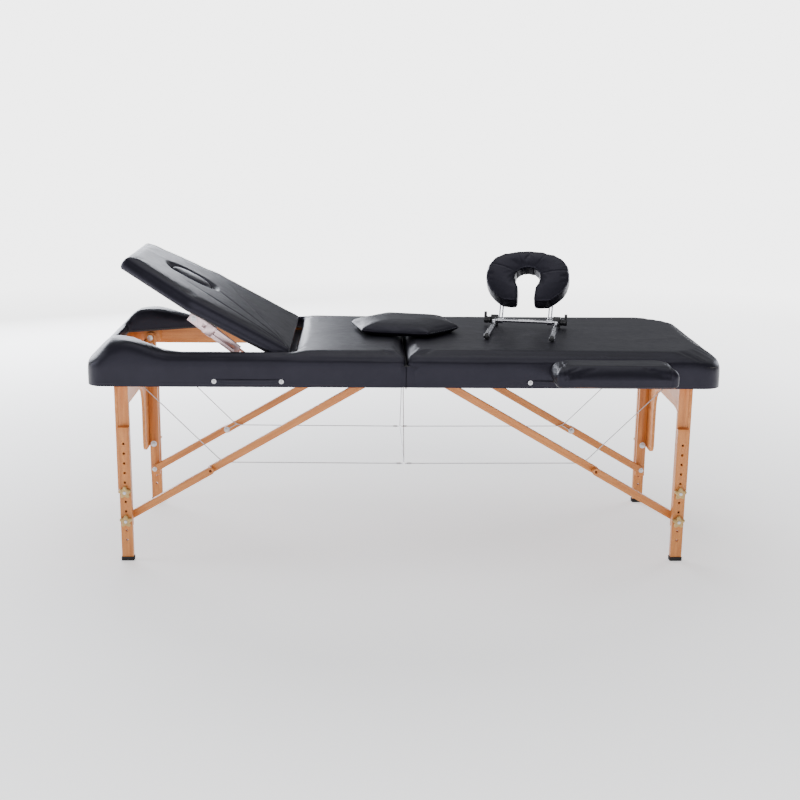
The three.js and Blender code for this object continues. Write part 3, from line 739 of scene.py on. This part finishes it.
def build_rail_facing():
    """The cover's hem, stapled flat over the top of the rail that the backrest closes onto."""
    bm = bmesh.new()
    near_x = BACKREST_PIVOT.x + 0.0005
    add_block(bm, (near_x - RAIL_WIDTH, CENTRE_Y - 0.3, RAIL_TOP + 0.00002),
              (near_x, CENTRE_Y + 0.3, RAIL_TOP + 0.00024), 0.00005)
    add_piece("rail_facing", bm, VINYL, "left_half", "vinyl")


def trim_underside(piece):
    """Cut the cover off level with the rails' lower edge."""
    bm = bmesh.new()
    add_block(bm, (CAD_BOX[0][0] - TRIM_REACH, CAD_BOX[0][1] - TRIM_REACH, UNDERSIDE - TRIM_REACH),
              (CAD_BOX[1][0] + TRIM_REACH, CAD_BOX[1][1] + TRIM_REACH, UNDERSIDE), 0.001)
    subtract(piece, bm)


# The covers are stapled to the rails, so only their padded tops are free to swell.
HELD_SKIRT = held_below(0.652, 0.668)
HELD_BACKREST = held_below(0.645, 0.655)


def side_folds(place, normal):
    """Fine vertical puckers on the skirt and shallow creases on the top."""
    if abs(normal.z) < 0.6:
        spot = Vector((place.x * 16, place.y * 16, place.z * 5))
        return normal * (noise.noise(spot) * 0.0011 + wrinkle(place, 0.05, 0.0006))
    return normal * (wrinkle(place, 0.12, 0.0012, 3.1) - 0.0006)


def build_right_pad():
    bm = cover_block(PAD_LOW.x, PAD_HIGH.x, 1, TOP - 0.004)
    pad = pad_piece("right_cover", bm, voxel=0.009, cap=0.0045, held=HELD_SKIRT)
    move_points(pad, side_folds)
    trim_underside(pad)
    subtract(pad, frame_hollow(PAD_LOW.x, PAD_HIGH.x, 1))
    declare_pad(pad, "right_half", 0.85, "right_pad")


BACKREST_LENGTH = 0.590
BACKREST_HALF = 0.305
BACKREST_KINK = 0.339
BACKREST_HEAD_HALF = 0.196
BACKREST_WALL = 0.0035
BACKREST_ROOM_TOP = 0.6421
OPENING_GAP = 0.0045
SEAM_GAP = 0.0032


def backrest_ring(grow, z, seam_extra=0.0):
    """Points round the backrest's plan, drawn flat, in order."""
    seam = BACKREST_PIVOT.x - 0.0015 + seam_extra
    head = BACKREST_PIVOT.x - BACKREST_LENGTH - grow
    kink = BACKREST_PIVOT.x - BACKREST_KINK
    corners = [
        (seam, BACKREST_HALF + grow), (kink, BACKREST_HALF + grow), (head, BACKREST_HEAD_HALF + grow),
        (head, -BACKREST_HEAD_HALF - grow), (kink, -BACKREST_HALF - grow), (seam, -BACKREST_HALF - grow),
    ]
    points = []
    for (x0, y0), (x1, y1) in zip(corners, corners[1:] + corners[:1]):
        points += [Vector((x0 + (x1 - x0) * i / 8, CENTRE_Y + y0 + (y1 - y0) * i / 8, z)) for i in range(8)]
    return points


def build_left_pad():
    """The cover of the head half: the middle section, the side rails and the raised corners,
    in one piece round the room for the backrest."""
    bm = cover_block(RIM_LOW.x, MIDDLE_HIGH.x, -1, TOP - 0.004)
    cover = make_piece("left_cover", bm, VINYL, smooth=False)
    subtract(cover, lofted([backrest_ring(OPENING_GAP, z, SEAM_GAP) for z in (0.5, 0.8)]))
    remesh(cover, voxel=0.008)
    move_points(cover, corner_rise)
    inflate(cover, cap=0.004, held=HELD_SKIRT)
    subdivide(cover)
    move_points(cover, side_folds)
    trim_underside(cover)
    subtract(cover, frame_hollow(RIM_LOW.x, MIDDLE_HIGH.x, -1))
    declare_pad(cover, "left_half", 0.85, "middle_pad", "head_rim_pad")


# Where the raised corners start, peak and fall along X, and start and level off across the table.
BUMP_START, BUMP_PEAK, BUMP_FALL = -0.715, -0.868, -0.898
BUMP_INNER, BUMP_OUTER = 0.175, 0.235
BUMP_HEIGHT = 0.034
END_DROP = 0.013


def corner_rise(place, normal):
    """The bumps outside the backrest's bevelled head: up from the side rails, down to the end."""
    along = smooth_step(BUMP_START, BUMP_PEAK, place.x)
    fall = 1 - smooth_step(BUMP_FALL, RIM_LOW.x, place.x)
    across = smooth_step(BUMP_INNER, BUMP_OUTER, abs(place.y - CENTRE_Y))
    share = smooth_step(0.640, TOP, place.z)
    end_drop = smooth_step(-0.900, RIM_LOW.x, place.x) * END_DROP
    return Vector((0, 0, share * (BUMP_HEIGHT * along * fall * across - end_drop)))


FACE_HOLE_X = BACKREST_PIVOT.x - 0.388
BACKREST_TURN = turn_about(BACKREST_PIVOT, BACKREST_ANGLE, "Y")
BACKREST_UNDER = 0.634


def backrest_block():
    low, high = BACKREST_UNDER - 0.001, TOP - 0.0035
    profile = [(0.0, -0.002), (0.2, -0.0005), (0.72, -0.0005), (0.86, -0.003), (0.95, -0.0075), (1.0, -0.015)]
    rings = []
    for share, grow in profile:
        rings.append(backrest_ring(grow, low + share * (high - low), grow * 0.6 - 0.0006))
    return lofted(rings)


def oval_ring(half_length, half_width, z, count=48):
    """Points round the face hole, with the backrest flat."""
    return [
        Vector((FACE_HOLE_X + half_length * math.cos(2 * math.pi * i / count),
                CENTRE_Y + half_width * math.sin(2 * math.pi * i / count), z))
        for i in range(count)
    ]


# Each crease runs from the near hinge corner to a point (X, Y) and has a depth.
CREASES = [(-0.33, 0.02, 0.0026), (-0.27, 0.16, 0.0022), (-0.42, -0.12, 0.0018)]


def backrest_creases(place, normal):
    """Soft creases that fan from the near hinge corner towards the face hole, and a dished rim."""
    x = place.x - BACKREST_PIVOT.x
    y = place.y - CENTRE_Y
    move = wrinkle(place, 0.11, 0.001, 5.7)
    if normal.z > 0.5:
        for target_x, target_y, depth in CREASES:
            start = Vector((-0.012, -0.285))
            span = Vector((target_x, target_y)) - start
            spot = Vector((x, y)) - start
            share = spot.dot(span) / span.length_squared
            if 0 < share < 1.1:
                away = abs(spot.x * span.y - spot.y * span.x) / span.length
                width = 0.005 + 0.011 * share
                move -= depth * (1 - smooth_step(0, width, away)) * (1 - smooth_step(0.55, 1.1, share))
        oval = math.hypot((place.x - FACE_HOLE_X) / 0.082, y / 0.060)
        move -= 0.003 * (1 - smooth_step(0.95, 1.28, oval))
    return normal * move


def build_backrest():
    pad = make_piece("backrest_cover", backrest_block(), VINYL, smooth=False)
    subtract(pad, lofted([oval_ring(0.0765, 0.0545, z) for z in (0.6, 0.72)]))
    remesh(pad, voxel=0.007)
    inflate(pad, cap=0.004, held=HELD_BACKREST)
    subdivide(pad)
    move_points(pad, backrest_creases)
    subtract(pad, lofted([backrest_ring(-BACKREST_WALL, z, -COVER) for z in (0.6, BACKREST_ROOM_TOP)]))
    pad.data.transform(BACKREST_TURN)
    declare_pad(pad, "backrest", 0.85, "backrest_pad")


def flat_heights(node):
    """A backrest node's lowest and highest point when the backrest lies flat."""
    flat = BACKREST_TURN.inverted()
    heights = [(flat @ vert.co).z for vert in frame["nodes"][node].data.vertices]
    return min(heights), max(heights)


def build_face_plug():
    low, high = flat_heights("face_plug")
    profile = [(0.0, 0.80), (0.10, 0.93), (0.3, 0.975), (0.68, 0.98), (0.86, 0.93), (0.96, 0.82), (1.0, 0.66)]
    rings = [oval_ring(0.0735 * size, 0.0515 * size, low + share * (high - low)) for share, size in profile]
    plug = pad_piece("face_plug_cover", lofted(rings), voxel=0.0045, cap=0.0025, held=HELD_BACKREST)
    plug.data.transform(BACKREST_TURN)
    declare_pad(plug, "face_plug", 0.9, "face_plug")


# ---- Loose cushions ----
ARMREST_CORNER = 0.016
ARMREST_BOARD = 0.012


def build_armrest():
    """The cover wraps the board, whose underside shows below it."""
    low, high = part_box("armrest_pad")
    board_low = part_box("armrest_board")[0]
    board_top = board_low.z + ARMREST_BOARD
    profile = [
        (0.0, 0.004), (0.06, 0.0015), (0.15, 0.0), (0.66, 0.0), (0.80, 0.003), (0.92, 0.010), (1.0, 0.021),
    ]
    rings = []
    base = board_low.z - 0.0005
    for share, inset in profile:
        ring = rounded_rectangle(low.x + inset, high.x - inset, low.y + inset, high.y - inset,
                                 ARMREST_CORNER, ARMREST_CORNER, 6, (16, 8))
        rings.append(at_height(ring, base + share * (high.z - 0.003 - base)))
    pad = pad_piece("armrest_cover", lofted(rings), voxel=0.0055, cap=0.005,
                    held=held_below(0.626, 0.634))

    def seams(place, normal):
        near_end = min(abs(place.x - (low.x + 0.026)), abs(place.x - (high.x - 0.026)))
        groove = 0.0014 * (1 - smooth_step(0, 0.005, near_end)) if normal.z > -0.5 else 0
        return normal * (wrinkle(place, 0.07, 0.0012, 1.3) - groove)
    move_points(pad, seams)
    room = bmesh.new()
    add_block(room, (low.x + 0.0115, low.y + 0.0095, base - 0.02),
              (high.x - 0.0115, high.y - 0.0015, board_top + GAP), 0.0003)
    subtract(pad, room)
    declare_pad(pad, "armrest", 0.85, "armrest_pad")


def cradle_space():
    """From the cradle head's own frame (X across, Y up the cushion, Z its face) to the world."""
    return (Matrix.Translation(CRADLE_PIVOT) @ Matrix.Rotation(CRADLE_YAW, 4, "Z")
            @ Matrix.Rotation(CRADLE_LEAN, 4, "X"))


CUSHION_CENTRE = 0.040 + 0.205 / 2
CUSHION_SEAMS = (-1.25, -0.45, 0.6, 1.4)


def build_cradle_cushion():
    space = cradle_space()
    bm = copy_solid("cradle_cushion", 0.001, space.inverted())
    cushion = pad_piece("cradle_cushion_cover", bm, voxel=0.0045, cap=0.0105,
                        held=held_below(0.009, 0.014))

    def seams(place, normal):
        angle = math.atan2(place.x, place.y - CUSHION_CENTRE)
        nearest = min(abs(angle - target) for target in CUSHION_SEAMS)
        away = nearest * math.hypot(place.x, place.y - CUSHION_CENTRE)
        groove = 0.0014 * (1 - smooth_step(0, 0.0045, away))
        return normal * (wrinkle(place, 0.05, 0.0012, 2.2) - groove)
    move_points(cushion, seams)
    cushion.data.transform(space)
    declare_pad(cushion, "cradle_head", 0.9, "cradle_cushion")


SMALL_PAD_YAW = math.radians(-14)


def build_small_pad():
    low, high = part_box("small_pad")
    centre = Vector(((low.x + high.x) / 2, (low.y + high.y) / 2, low.z))
    corners = [(-0.190, 0), (-0.115, -0.150), (0.115, -0.150), (0.190, 0), (0.115, 0.150), (-0.115, 0.150)]
    profile = [(0.0, 0.78), (0.05, 0.90), (0.22, 0.975), (0.36, 0.985), (0.5, 0.94), (0.68, 0.84),
               (0.84, 0.69), (0.94, 0.54), (1.0, 0.36)]
    rings = []
    for share, size in profile:
        ring = []
        for (x0, y0), (x1, y1) in zip(corners, corners[1:] + corners[:1]):
            ring += [Vector(((x0 + (x1 - x0) * i / 6) * size, (y0 + (y1 - y0) * i / 6) * size,
                             0.0006 + share * 0.040)) for i in range(6)]
        rings.append(ring)
    pad = pad_piece("small_pad_cover", lofted(rings), voxel=0.005, cap=0.004,
                    held=held_below(0.001, 0.004))
    pad.data.transform(Matrix.Translation(centre) @ Matrix.Rotation(SMALL_PAD_YAW, 4, "Z"))
    declare_pad(pad, "small_pad", 0.7, "small_pad")


# ---- Wood ----
def refine(node, body, slot, material, width=0.0015, sharp=SEAM_ANGLE):
    """A copy of a CAD node with clean faces and softened edges, standing for that node."""
    bm = copy_solid(node)
    bmesh.ops.dissolve_limit(bm, angle_limit=math.radians(1), verts=bm.verts, edges=bm.edges)
    piece = make_piece(f"{node}_fine", bm, material)
    tool = piece.modifiers.new("edges", "BEVEL")
    tool.width = width
    tool.segments = 2
    tool.limit_method = "ANGLE"
    tool.angle_limit = math.radians(40)
    tool.use_clamp_overlap = True
    apply_modifiers(piece)
    smooth_faces(piece, sharp)
    return place_piece(piece, body, slot, node)


BRACE_RISE = math.radians(30.12)


def build_wood():
    """The wooden parts, each with its grain along it. The braces' grain follows their slope."""
    for end, x_side in ENDS.items():
        braces = wood_finish(f"beech_brace_{end}", (0, x_side * BRACE_RISE, 0))
        refine(f"{end}_frame", f"{end}_half", "beech", WOOD_X)
        refine(f"{end}_end_panel", f"{end}_leg_pair", "beech", WOOD_Y, 0.0012)
        for row in ROWS:
            side = f"{end}_{row}"
            refine(f"upper_leg_{side}", f"{end}_leg_pair", "beech", WOOD_Z)
            refine(f"lower_leg_{side}", f"lower_leg_{side}", "beech", WOOD_Z)
            refine(f"upper_brace_{side}", f"{end}_upper_braces", "beech", braces)
            refine(f"lower_brace_{side}", f"{end}_lower_braces", "beech", braces)
    refine("armrest_board", "armrest", "beech", WOOD_X)


def finish_cad(node, material):
    """A CAD node that stays visible gets its better material."""
    piece = frame["nodes"][node]
    piece.data.materials.clear()
    piece.data.materials.append(material)


def build_decks():
    finish_cad("right_deck", BACKING)
    finish_cad("left_deck", BACKING)
    refine("backrest_board", "backrest", "plywood", BACKING)


# ---- Feet, knobs and bolts ----
def build_foot(side):
    low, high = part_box(f"foot_{side}")
    centre = (low + high) / 2
    wide = (high.x - low.x) / 2
    deep = (high.y - low.y) / 2
    profile = [
        (0.0, 0.93), (0.06, 0.97), (0.16, 0.985), (0.24, 0.90), (0.32, 0.90), (0.40, 0.985),
        (0.50, 0.985), (0.58, 0.90), (0.66, 0.90), (0.74, 0.985), (0.9, 0.985), (1.0, 0.94),
    ]
    rings = []
    for share, size in profile:
        ring = rounded_rectangle(centre.x - wide * size, centre.x + wide * size, centre.y - deep * size,
                                 centre.y + deep * size, 0.004, 0.004, 5, (2, 2))
        rings.append(at_height(ring, low.z + share * (high.z - low.z)))
    add_piece(f"foot_{side}_rubber", lofted(rings), RUBBER, f"lower_leg_{side}", "rubber", f"foot_{side}")


KNOB_PROFILE = [(0.0, 0.42), (0.06, 0.44), (0.14, 0.86), (0.24, 0.97), (0.4, 1.0), (0.66, 1.0), (0.8, 0.96),
                (0.9, 0.84), (0.95, 0.66), (0.93, 0.46), (0.90, 0.30)]


def build_knob(name, outward):
    low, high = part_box(name)
    centre = (low + high) / 2
    radius = (high.x - low.x) / 2 - 0.004
    base = low.y if outward > 0 else high.y
    depth = (high.y - low.y) * outward
    count = 60
    rings = []
    for share, size in KNOB_PROFILE:
        ring = []
        for i in range(count):
            angle = 2 * math.pi * i / count
            reach = (radius + 0.0038 * math.cos(5 * angle)) * size
            ring.append(Vector((centre.x + reach * math.sin(angle), base + depth * share,
                                centre.z + reach * math.cos(angle))))
        rings.append(ring)
    add_piece(f"{name}_star", lofted(rings), GOLD, name, "brass", name)
    insert = bmesh.new()
    face = Vector((centre.x, base + depth * 0.86, centre.z))
    add_lathe(insert, face, (0, outward, 0), [(0, 0.0052), (0.0016, 0.0052), (0.002, 0.0046), (0.002, 0.0034),
                                              (0.0028, 0.003), (0.0030, 0.0001)])
    add_piece(f"{name}_bolt", insert, STEEL, name, "chrome")


LEG_NUT_Z = 0.226


def build_leg_hardware():
    for end, x_side in ENDS.items():
        bolts = bmesh.new()
        knees = bmesh.new()
        inner_bolts = bmesh.new()
        for row, y_side in ROWS.items():
            side = f"{end}_{row}"
            build_foot(side)
            build_knob(f"upper_knob_{side}", y_side)
            build_knob(f"lower_knob_{side}", y_side)
            leg_low, leg_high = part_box(f"upper_leg_{side}")
            leg_x = (leg_low.x + leg_high.x) / 2
            pivot_z = JOINTS[f"{end}_legs_fold"]["pos_m"][2]
            leg_inner = face_y(f"upper_leg_{side}", -y_side)
            add_hex_nut(inner_bolts, (leg_x, leg_inner, LEG_NUT_Z), (0, -y_side, 0))
            add_lathe(inner_bolts, (leg_x, leg_inner, pivot_z), (0, -y_side, 0),
                      [(0, 0.010), (0.0012, 0.010), (0.0014, 0.0075), (0.004, 0.007), (0.005, 0.004)])
            add_knee(knees, end, row, x_side, y_side)
            brace_inner = face_y(f"upper_brace_{side}", -y_side)
            brace_outer = face_y(f"upper_brace_{side}", y_side)
            centre_x = JOINTS[f"{end}_upper_brace_swing"]["pos_m"][0]
            add_hex_nut(bolts, (centre_x, brace_outer, pivot_z), (0, y_side, 0), 0.0065, 0.005)
            add_lathe(bolts, (centre_x, brace_inner - 0.0002 * y_side, pivot_z), (0, y_side, 0),
                      [(0, 0.009), (0.0004, 0.009)])
        add_piece(f"{end}_leg_bolts", inner_bolts, STEEL, f"{end}_leg_pair", "chrome")
        add_piece(f"{end}_brace_bolts", bolts, STEEL, f"{end}_upper_braces", "chrome")
        add_piece(f"{end}_knee_bolts", knees, STEEL, f"{end}_upper_braces", "chrome")
        build_brace_feet(end)
        build_panel_screws(end, x_side)


def knee_place(end, row):
    """The middle of the knee, where the two bars of a brace overlap."""
    low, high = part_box(f"upper_brace_{end}_{row}")
    radius = 0.012
    x = high.x - radius if end == "right" else low.x + radius
    return Vector((x, (low.y + high.y) / 2, low.z + radius))


def add_knee(bm, end, row, x_side, y_side):
    """The knee's nut and the small bracket that the cable passes through."""
    inner = face_y(f"upper_brace_{end}_{row}", -y_side)
    centre = knee_place(end, row)
    add_hex_nut(bm, (centre.x, inner, centre.z), (0, -y_side, 0), 0.0068, 0.005)
    start = Vector((centre.x, inner - y_side * 0.0022, centre.z))
    tip = start + Vector((-x_side * 0.034, 0, 0.020))
    hook = tip + Vector((-x_side * 0.004, -y_side * 0.003, 0.001))
    add_tube(bm, [start, start.lerp(tip, 0.5), tip, hook], 0.0016, 10)


def build_brace_feet(end):
    """Bolt heads where each lower brace turns on its leg."""
    bm = bmesh.new()
    for row, y_side in ROWS.items():
        inner = face_y(f"lower_brace_{end}_{row}", -y_side)
        pivot = JOINTS[f"{end}_lower_brace_swing"]["pos_m"]
        add_lathe(bm, (pivot[0], inner, pivot[2]), (0, -y_side, 0), [
            (0, 0.0085), (0.001, 0.0085), (0.0012, 0.006), (0.003, 0.0058), (0.004, 0.0035)])
    add_piece(f"{end}_brace_foot_bolts", bm, STEEL, f"{end}_lower_braces", "chrome")


PANEL_SCREW_HEIGHTS = (0.245, 0.335, 0.450, 0.560)


def build_panel_screws(end, x_side):
    """The screws that hold the arched panel to the legs."""
    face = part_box(f"{end}_end_panel")[x_side > 0].x
    bm = bmesh.new()
    for row, y_side in ROWS.items():
        leg_low, leg_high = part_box(f"upper_leg_{end}_{row}")
        y = (leg_low.y + leg_high.y) / 2
        for z in PANEL_SCREW_HEIGHTS:
            add_screw(bm, (face, y, z), (x_side, 0, 0), 0.0042)
    add_piece(f"{end}_panel_screws", bm, STEEL, f"{end}_leg_pair", "chrome")


# ---- Handles ----
HANDLE_TIP = 0.009


def build_handle(end):
    """A padded carrying strap, thicker in the middle, with a screw and washer at each tip."""
    low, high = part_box(f"{end}_handle")
    steps = 40
    rings = []
    for i in range(steps + 1):
        share = i / steps
        x = low.x - HANDLE_TIP + share * (high.x - low.x + 2 * HANDLE_TIP)
        sag = 4 * share * (1 - share)
        tip = math.sqrt(max(0.02, 1 - (2 * share - 1) ** 12))
        top = high.z - 0.0015 - 0.001 * sag
        bottom = high.z - 0.015 - 0.009 * sag
        middle = (top + bottom) / 2
        half = (top - bottom) / 2 * tip
        thick = 0.0012 + 0.0010 * sag
        ring = []
        for k in range(16):
            angle = 2 * math.pi * k / 16
            up = math.copysign(abs(math.sin(angle)) ** 0.5, math.sin(angle))
            out = math.copysign(abs(math.cos(angle)) ** 0.8, math.cos(angle))
            ring.append(Vector((x, (low.y + high.y) / 2 + thick * out, middle + half * up)))
        rings.append(ring)
    add_piece(f"{end}_handle_strap", lofted(rings), VINYL, f"{end}_half", "vinyl", f"{end}_handle")
    build_handle_screws(end, low, high)
    build_handle_stitches(end, low, high)


def build_handle_screws(end, low, high):
    screws = bmesh.new()
    for x in (low.x + 0.002, high.x - 0.002):
        add_screw(screws, (x, (low.y + high.y) / 2 - 0.0008, high.z - 0.0085), (0, -1, 0), 0.0046)
    add_piece(f"{end}_handle_screws", screws, STEEL, f"{end}_half", "chrome")


def build_handle_stitches(end, low, high):
    """Two rows of short stitches along the strap."""
    stitches = bmesh.new()
    count = 38
    for row in (0.0035, -0.0035):
        for i in range(2, count - 1):
            share = i / count
            x = low.x + share * (high.x - low.x)
            sag = 4 * share * (1 - share)
            z = high.z - 0.0083 - 0.005 * sag + row * (1 + 0.6 * sag)
            y = (low.y + high.y) / 2 - 0.0011 - 0.0009 * sag
            add_tube(stitches, [(x - 0.0016, y, z), (x - 0.0008, y - 0.0004, z), (x + 0.0008, y - 0.0004, z),
                                (x + 0.0016, y, z)], 0.0003, 6)
    add_piece(f"{end}_handle_stitches", stitches, THREAD, f"{end}_half", "vinyl")


# ---- Centre hinge ----
def build_centre_hinge():
    low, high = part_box("centre_hinge_pin")
    axis = (low + high) / 2
    radius = (high.z - low.z) / 2
    pin = bmesh.new()
    add_rod(pin, (axis.x, low.y, axis.z), (axis.x, high.y, axis.z), radius)
    add_piece("centre_hinge_rod", pin, STEEL, "centre_hinge", "chrome", "centre_hinge_pin")


# ---- Cables ----
def eased(points, ease=0.022, steps=8):
    """The route's straight runs with a short even curve at each inner point."""
    points = [Vector(point) for point in points]
    route = [points[0]]
    for before, corner, after in zip(points, points[1:], points[2:]):
        start = corner + (before - corner).normalized() * ease
        end = corner + (after - corner).normalized() * ease
        for i in range(steps + 1):
            t = i / steps
            route.append(start * (1 - t) ** 2 + corner * 2 * t * (1 - t) + end * t ** 2)
    route.append(points[-1])
    dense = []
    for a, b in zip(route, route[1:]):
        count = max(1, round((b - a).length / 0.05))
        dense += [a.lerp(b, i / count) for i in range(count)]
    return dense + [route[-1]]


CABLE_REACH = 0.233
CABLE_LOW = 0.300
CABLE_RADIUS = 0.00145


def build_cables():
    for end, x_side in ENDS.items():
        knee = knee_place(end, "near")
        for row, y_side in ROWS.items():
            y = CENTRE_Y + y_side * CABLE_REACH
            route = [
                (x_side * 0.867, y, UNDERSIDE + 0.018),
                (knee.x - x_side * 0.036, y, knee.z + 0.019),
                (x_side * 0.004, y, CABLE_LOW),
            ]
            bm = bmesh.new()
            add_tube(bm, eased(route), CABLE_RADIUS, 10)
            last, before = Vector(route[-1]), Vector(route[-2])
            back = (before - last).normalized()
            add_lathe(bm, last + back * 0.006, back,
                      [(0, 0.0024), (0.001, 0.0029), (0.013, 0.0029), (0.014, 0.0024)], 16)
            cable = add_piece(f"cable_{end}_{row}_strand", bm, STRAND, f"{end}_half", "cable",
                              f"cable_{end}_{row}")
            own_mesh(cable)
    loop = [(0, -0.040, UNDERSIDE - 0.008), (0, -CABLE_REACH, CABLE_LOW), (0, CABLE_REACH, CABLE_LOW),
            (0, 0.040, UNDERSIDE - 0.008)]
    bm = bmesh.new()
    add_tube(bm, eased([(x, y + CENTRE_Y, z) for x, y, z in loop]), CABLE_RADIUS, 10)
    loop_piece = add_piece("cable_centre_strand", bm, STRAND, "centre_hinge", "cable",
                           "cable_centre_loop")
    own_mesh(loop_piece)


# ---- Backrest struts ----
STRUT_FOOT = Vector((-0.450, 0, 0.606))


def build_struts():
    pivot = Vector(JOINTS["strut_swing"]["pos_m"])
    for row, y_side in ROWS.items():
        refine(f"strut_channel_{row}", "strut_channels", "strut_metal", ROSE, 0.0005)
        refine(f"strut_bar_{row}", "strut_bars", "strut_metal", ROSE, 0.0005)
        low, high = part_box(f"strut_channel_{row}")
        outer = face_y(f"strut_channel_{row}", y_side)
        line = Vector((STRUT_FOOT.x - pivot.x, 0, STRUT_FOOT.z - pivot.z)).normalized()
        bm = bmesh.new()
        add_lathe(bm, (pivot.x, outer, pivot.z), (0, y_side, 0), [
            (0, 0.009), (0.001, 0.009), (0.0012, 0.0062), (0.003, 0.006), (0.004, 0.0035)])
        add_piece(f"strut_pivot_{row}", bm, STEEL, "backrest", "chrome")
        sleeve = bmesh.new()
        middle = Vector((pivot.x, (low.y + high.y) / 2, pivot.z)) + line * 0.060
        half_deep = (high.y - low.y) / 2 + 0.002
        add_block(sleeve, (-0.016, -half_deep, -0.0185), (0.016, half_deep, 0.0185), 0.003)
        angle = math.atan2(-line.z, line.x)
        transform(sleeve, Matrix.Translation(middle) @ Matrix.Rotation(angle, 4, "Y"))
        add_piece(f"strut_sleeve_{row}", sleeve, ROSE, "strut_channels", "strut_metal")


# ---- Face cradle ----
POST_SPACING = 0.210


def build_cradle():
    space = Matrix.Translation(CRADLE_PIVOT - Vector((0, 0, 0.020))) @ Matrix.Rotation(CRADLE_YAW, 4, "Z")
    half = POST_SPACING / 2
    posts = bmesh.new()
    caps = bmesh.new()
    for x in (-half, half):
        add_rod(posts, (x, -0.246, 0.0095), (x, -0.008, 0.0095), 0.0090, 28)
        add_lathe(caps, (x, -0.250, 0.0095), (0, 1, 0), [
            (0, 0.0064), (0.001, 0.0086), (0.003, 0.0094), (0.016, 0.0094), (0.017, 0.0090)])
    add_rod(posts, (-half, 0, 0.020), (half, 0, 0.020), 0.0060, 24)
    for x in (-half, half):
        add_block(posts, (x - 0.006, -0.014, 0.0045), (x + 0.006, 0.006, 0.0248), 0.0012)
    transform(posts, space)
    transform(caps, space)
    add_piece("cradle_posts", posts, CHROME, "cradle", "chrome", "cradle_base")
    add_piece("cradle_post_caps", caps, BLACK, "cradle", "black_plastic")
    for name, end in ENDS.items():
        build_clamp(name, end, half, space)
    build_cradle_arms()


def build_clamp(name, end, half, space):
    """A cam clamp: a split body, a round cam and a short lever."""
    bm = bmesh.new()
    x = end * half
    add_block(bm, (x - 0.013, 0.008, 0.0004), (x + 0.013, 0.024, 0.036), 0.003)
    add_block(bm, (x - 0.0145, 0.0105, 0.016), (x + 0.0145, 0.0215, 0.0185), 0.0006)
    start, tip = end * (half + 0.011), end * (half + 0.036)
    add_lathe(bm, (start, 0.016, 0.018), (end, 0, 0), [
        (0, 0.0085), (0.003, 0.0115), (0.008, 0.0118), (0.009, 0.0105), (0.011, 0.0105), (0.012, 0.0118),
        (0.021, 0.0118), (0.0245, 0.0095), (0.025, 0.006)])
    lever_low = min(tip - end * 0.010, tip)
    add_block(bm, (lever_low, 0.012, 0.022), (lever_low + 0.010, 0.020, 0.046), 0.0025)
    transform(bm, space)
    add_piece(f"cradle_clamp_{name}_body", bm, BLACK, "cradle", "black_plastic", f"cradle_clamp_{name}")


def build_cradle_arms():
    """The carrier plate under the cushion, its paired rods and their hubs."""
    space = cradle_space()
    refine("cradle_arms", "cradle_head", "chrome", CHROME, 0.0004, math.radians(40))
    bm = bmesh.new()
    for end in (-1, 1):
        for x in (0.078, 0.088):
            add_rod(bm, (end * x, 0.006, 0.001), (end * x, 0.128, 0.001), 0.0029, 16)
        add_lathe(bm, (end * 0.0738, 0, 0), (end, 0, 0), [
            (0, 0.0085), (0.001, 0.0102), (0.0172, 0.0102), (0.0184, 0.0085)])
    transform(bm, space)
    add_piece("cradle_arm_rods", bm, CHROME, "cradle_head", "chrome")


def build_all():
    make_camera()
    make_studio()
    make_floor()
    build_right_pad()
    build_left_pad()
    build_seam_facing("left")
    build_seam_facing("right")
    build_rail_facing()
    build_backrest()
    build_face_plug()
    build_armrest()
    build_cradle_cushion()
    build_small_pad()
    build_wood()
    build_decks()
    build_leg_hardware()
    build_handle("left")
    build_handle("right")
    build_centre_hinge()
    build_cables()
    build_struts()
    build_cradle()


build_all()
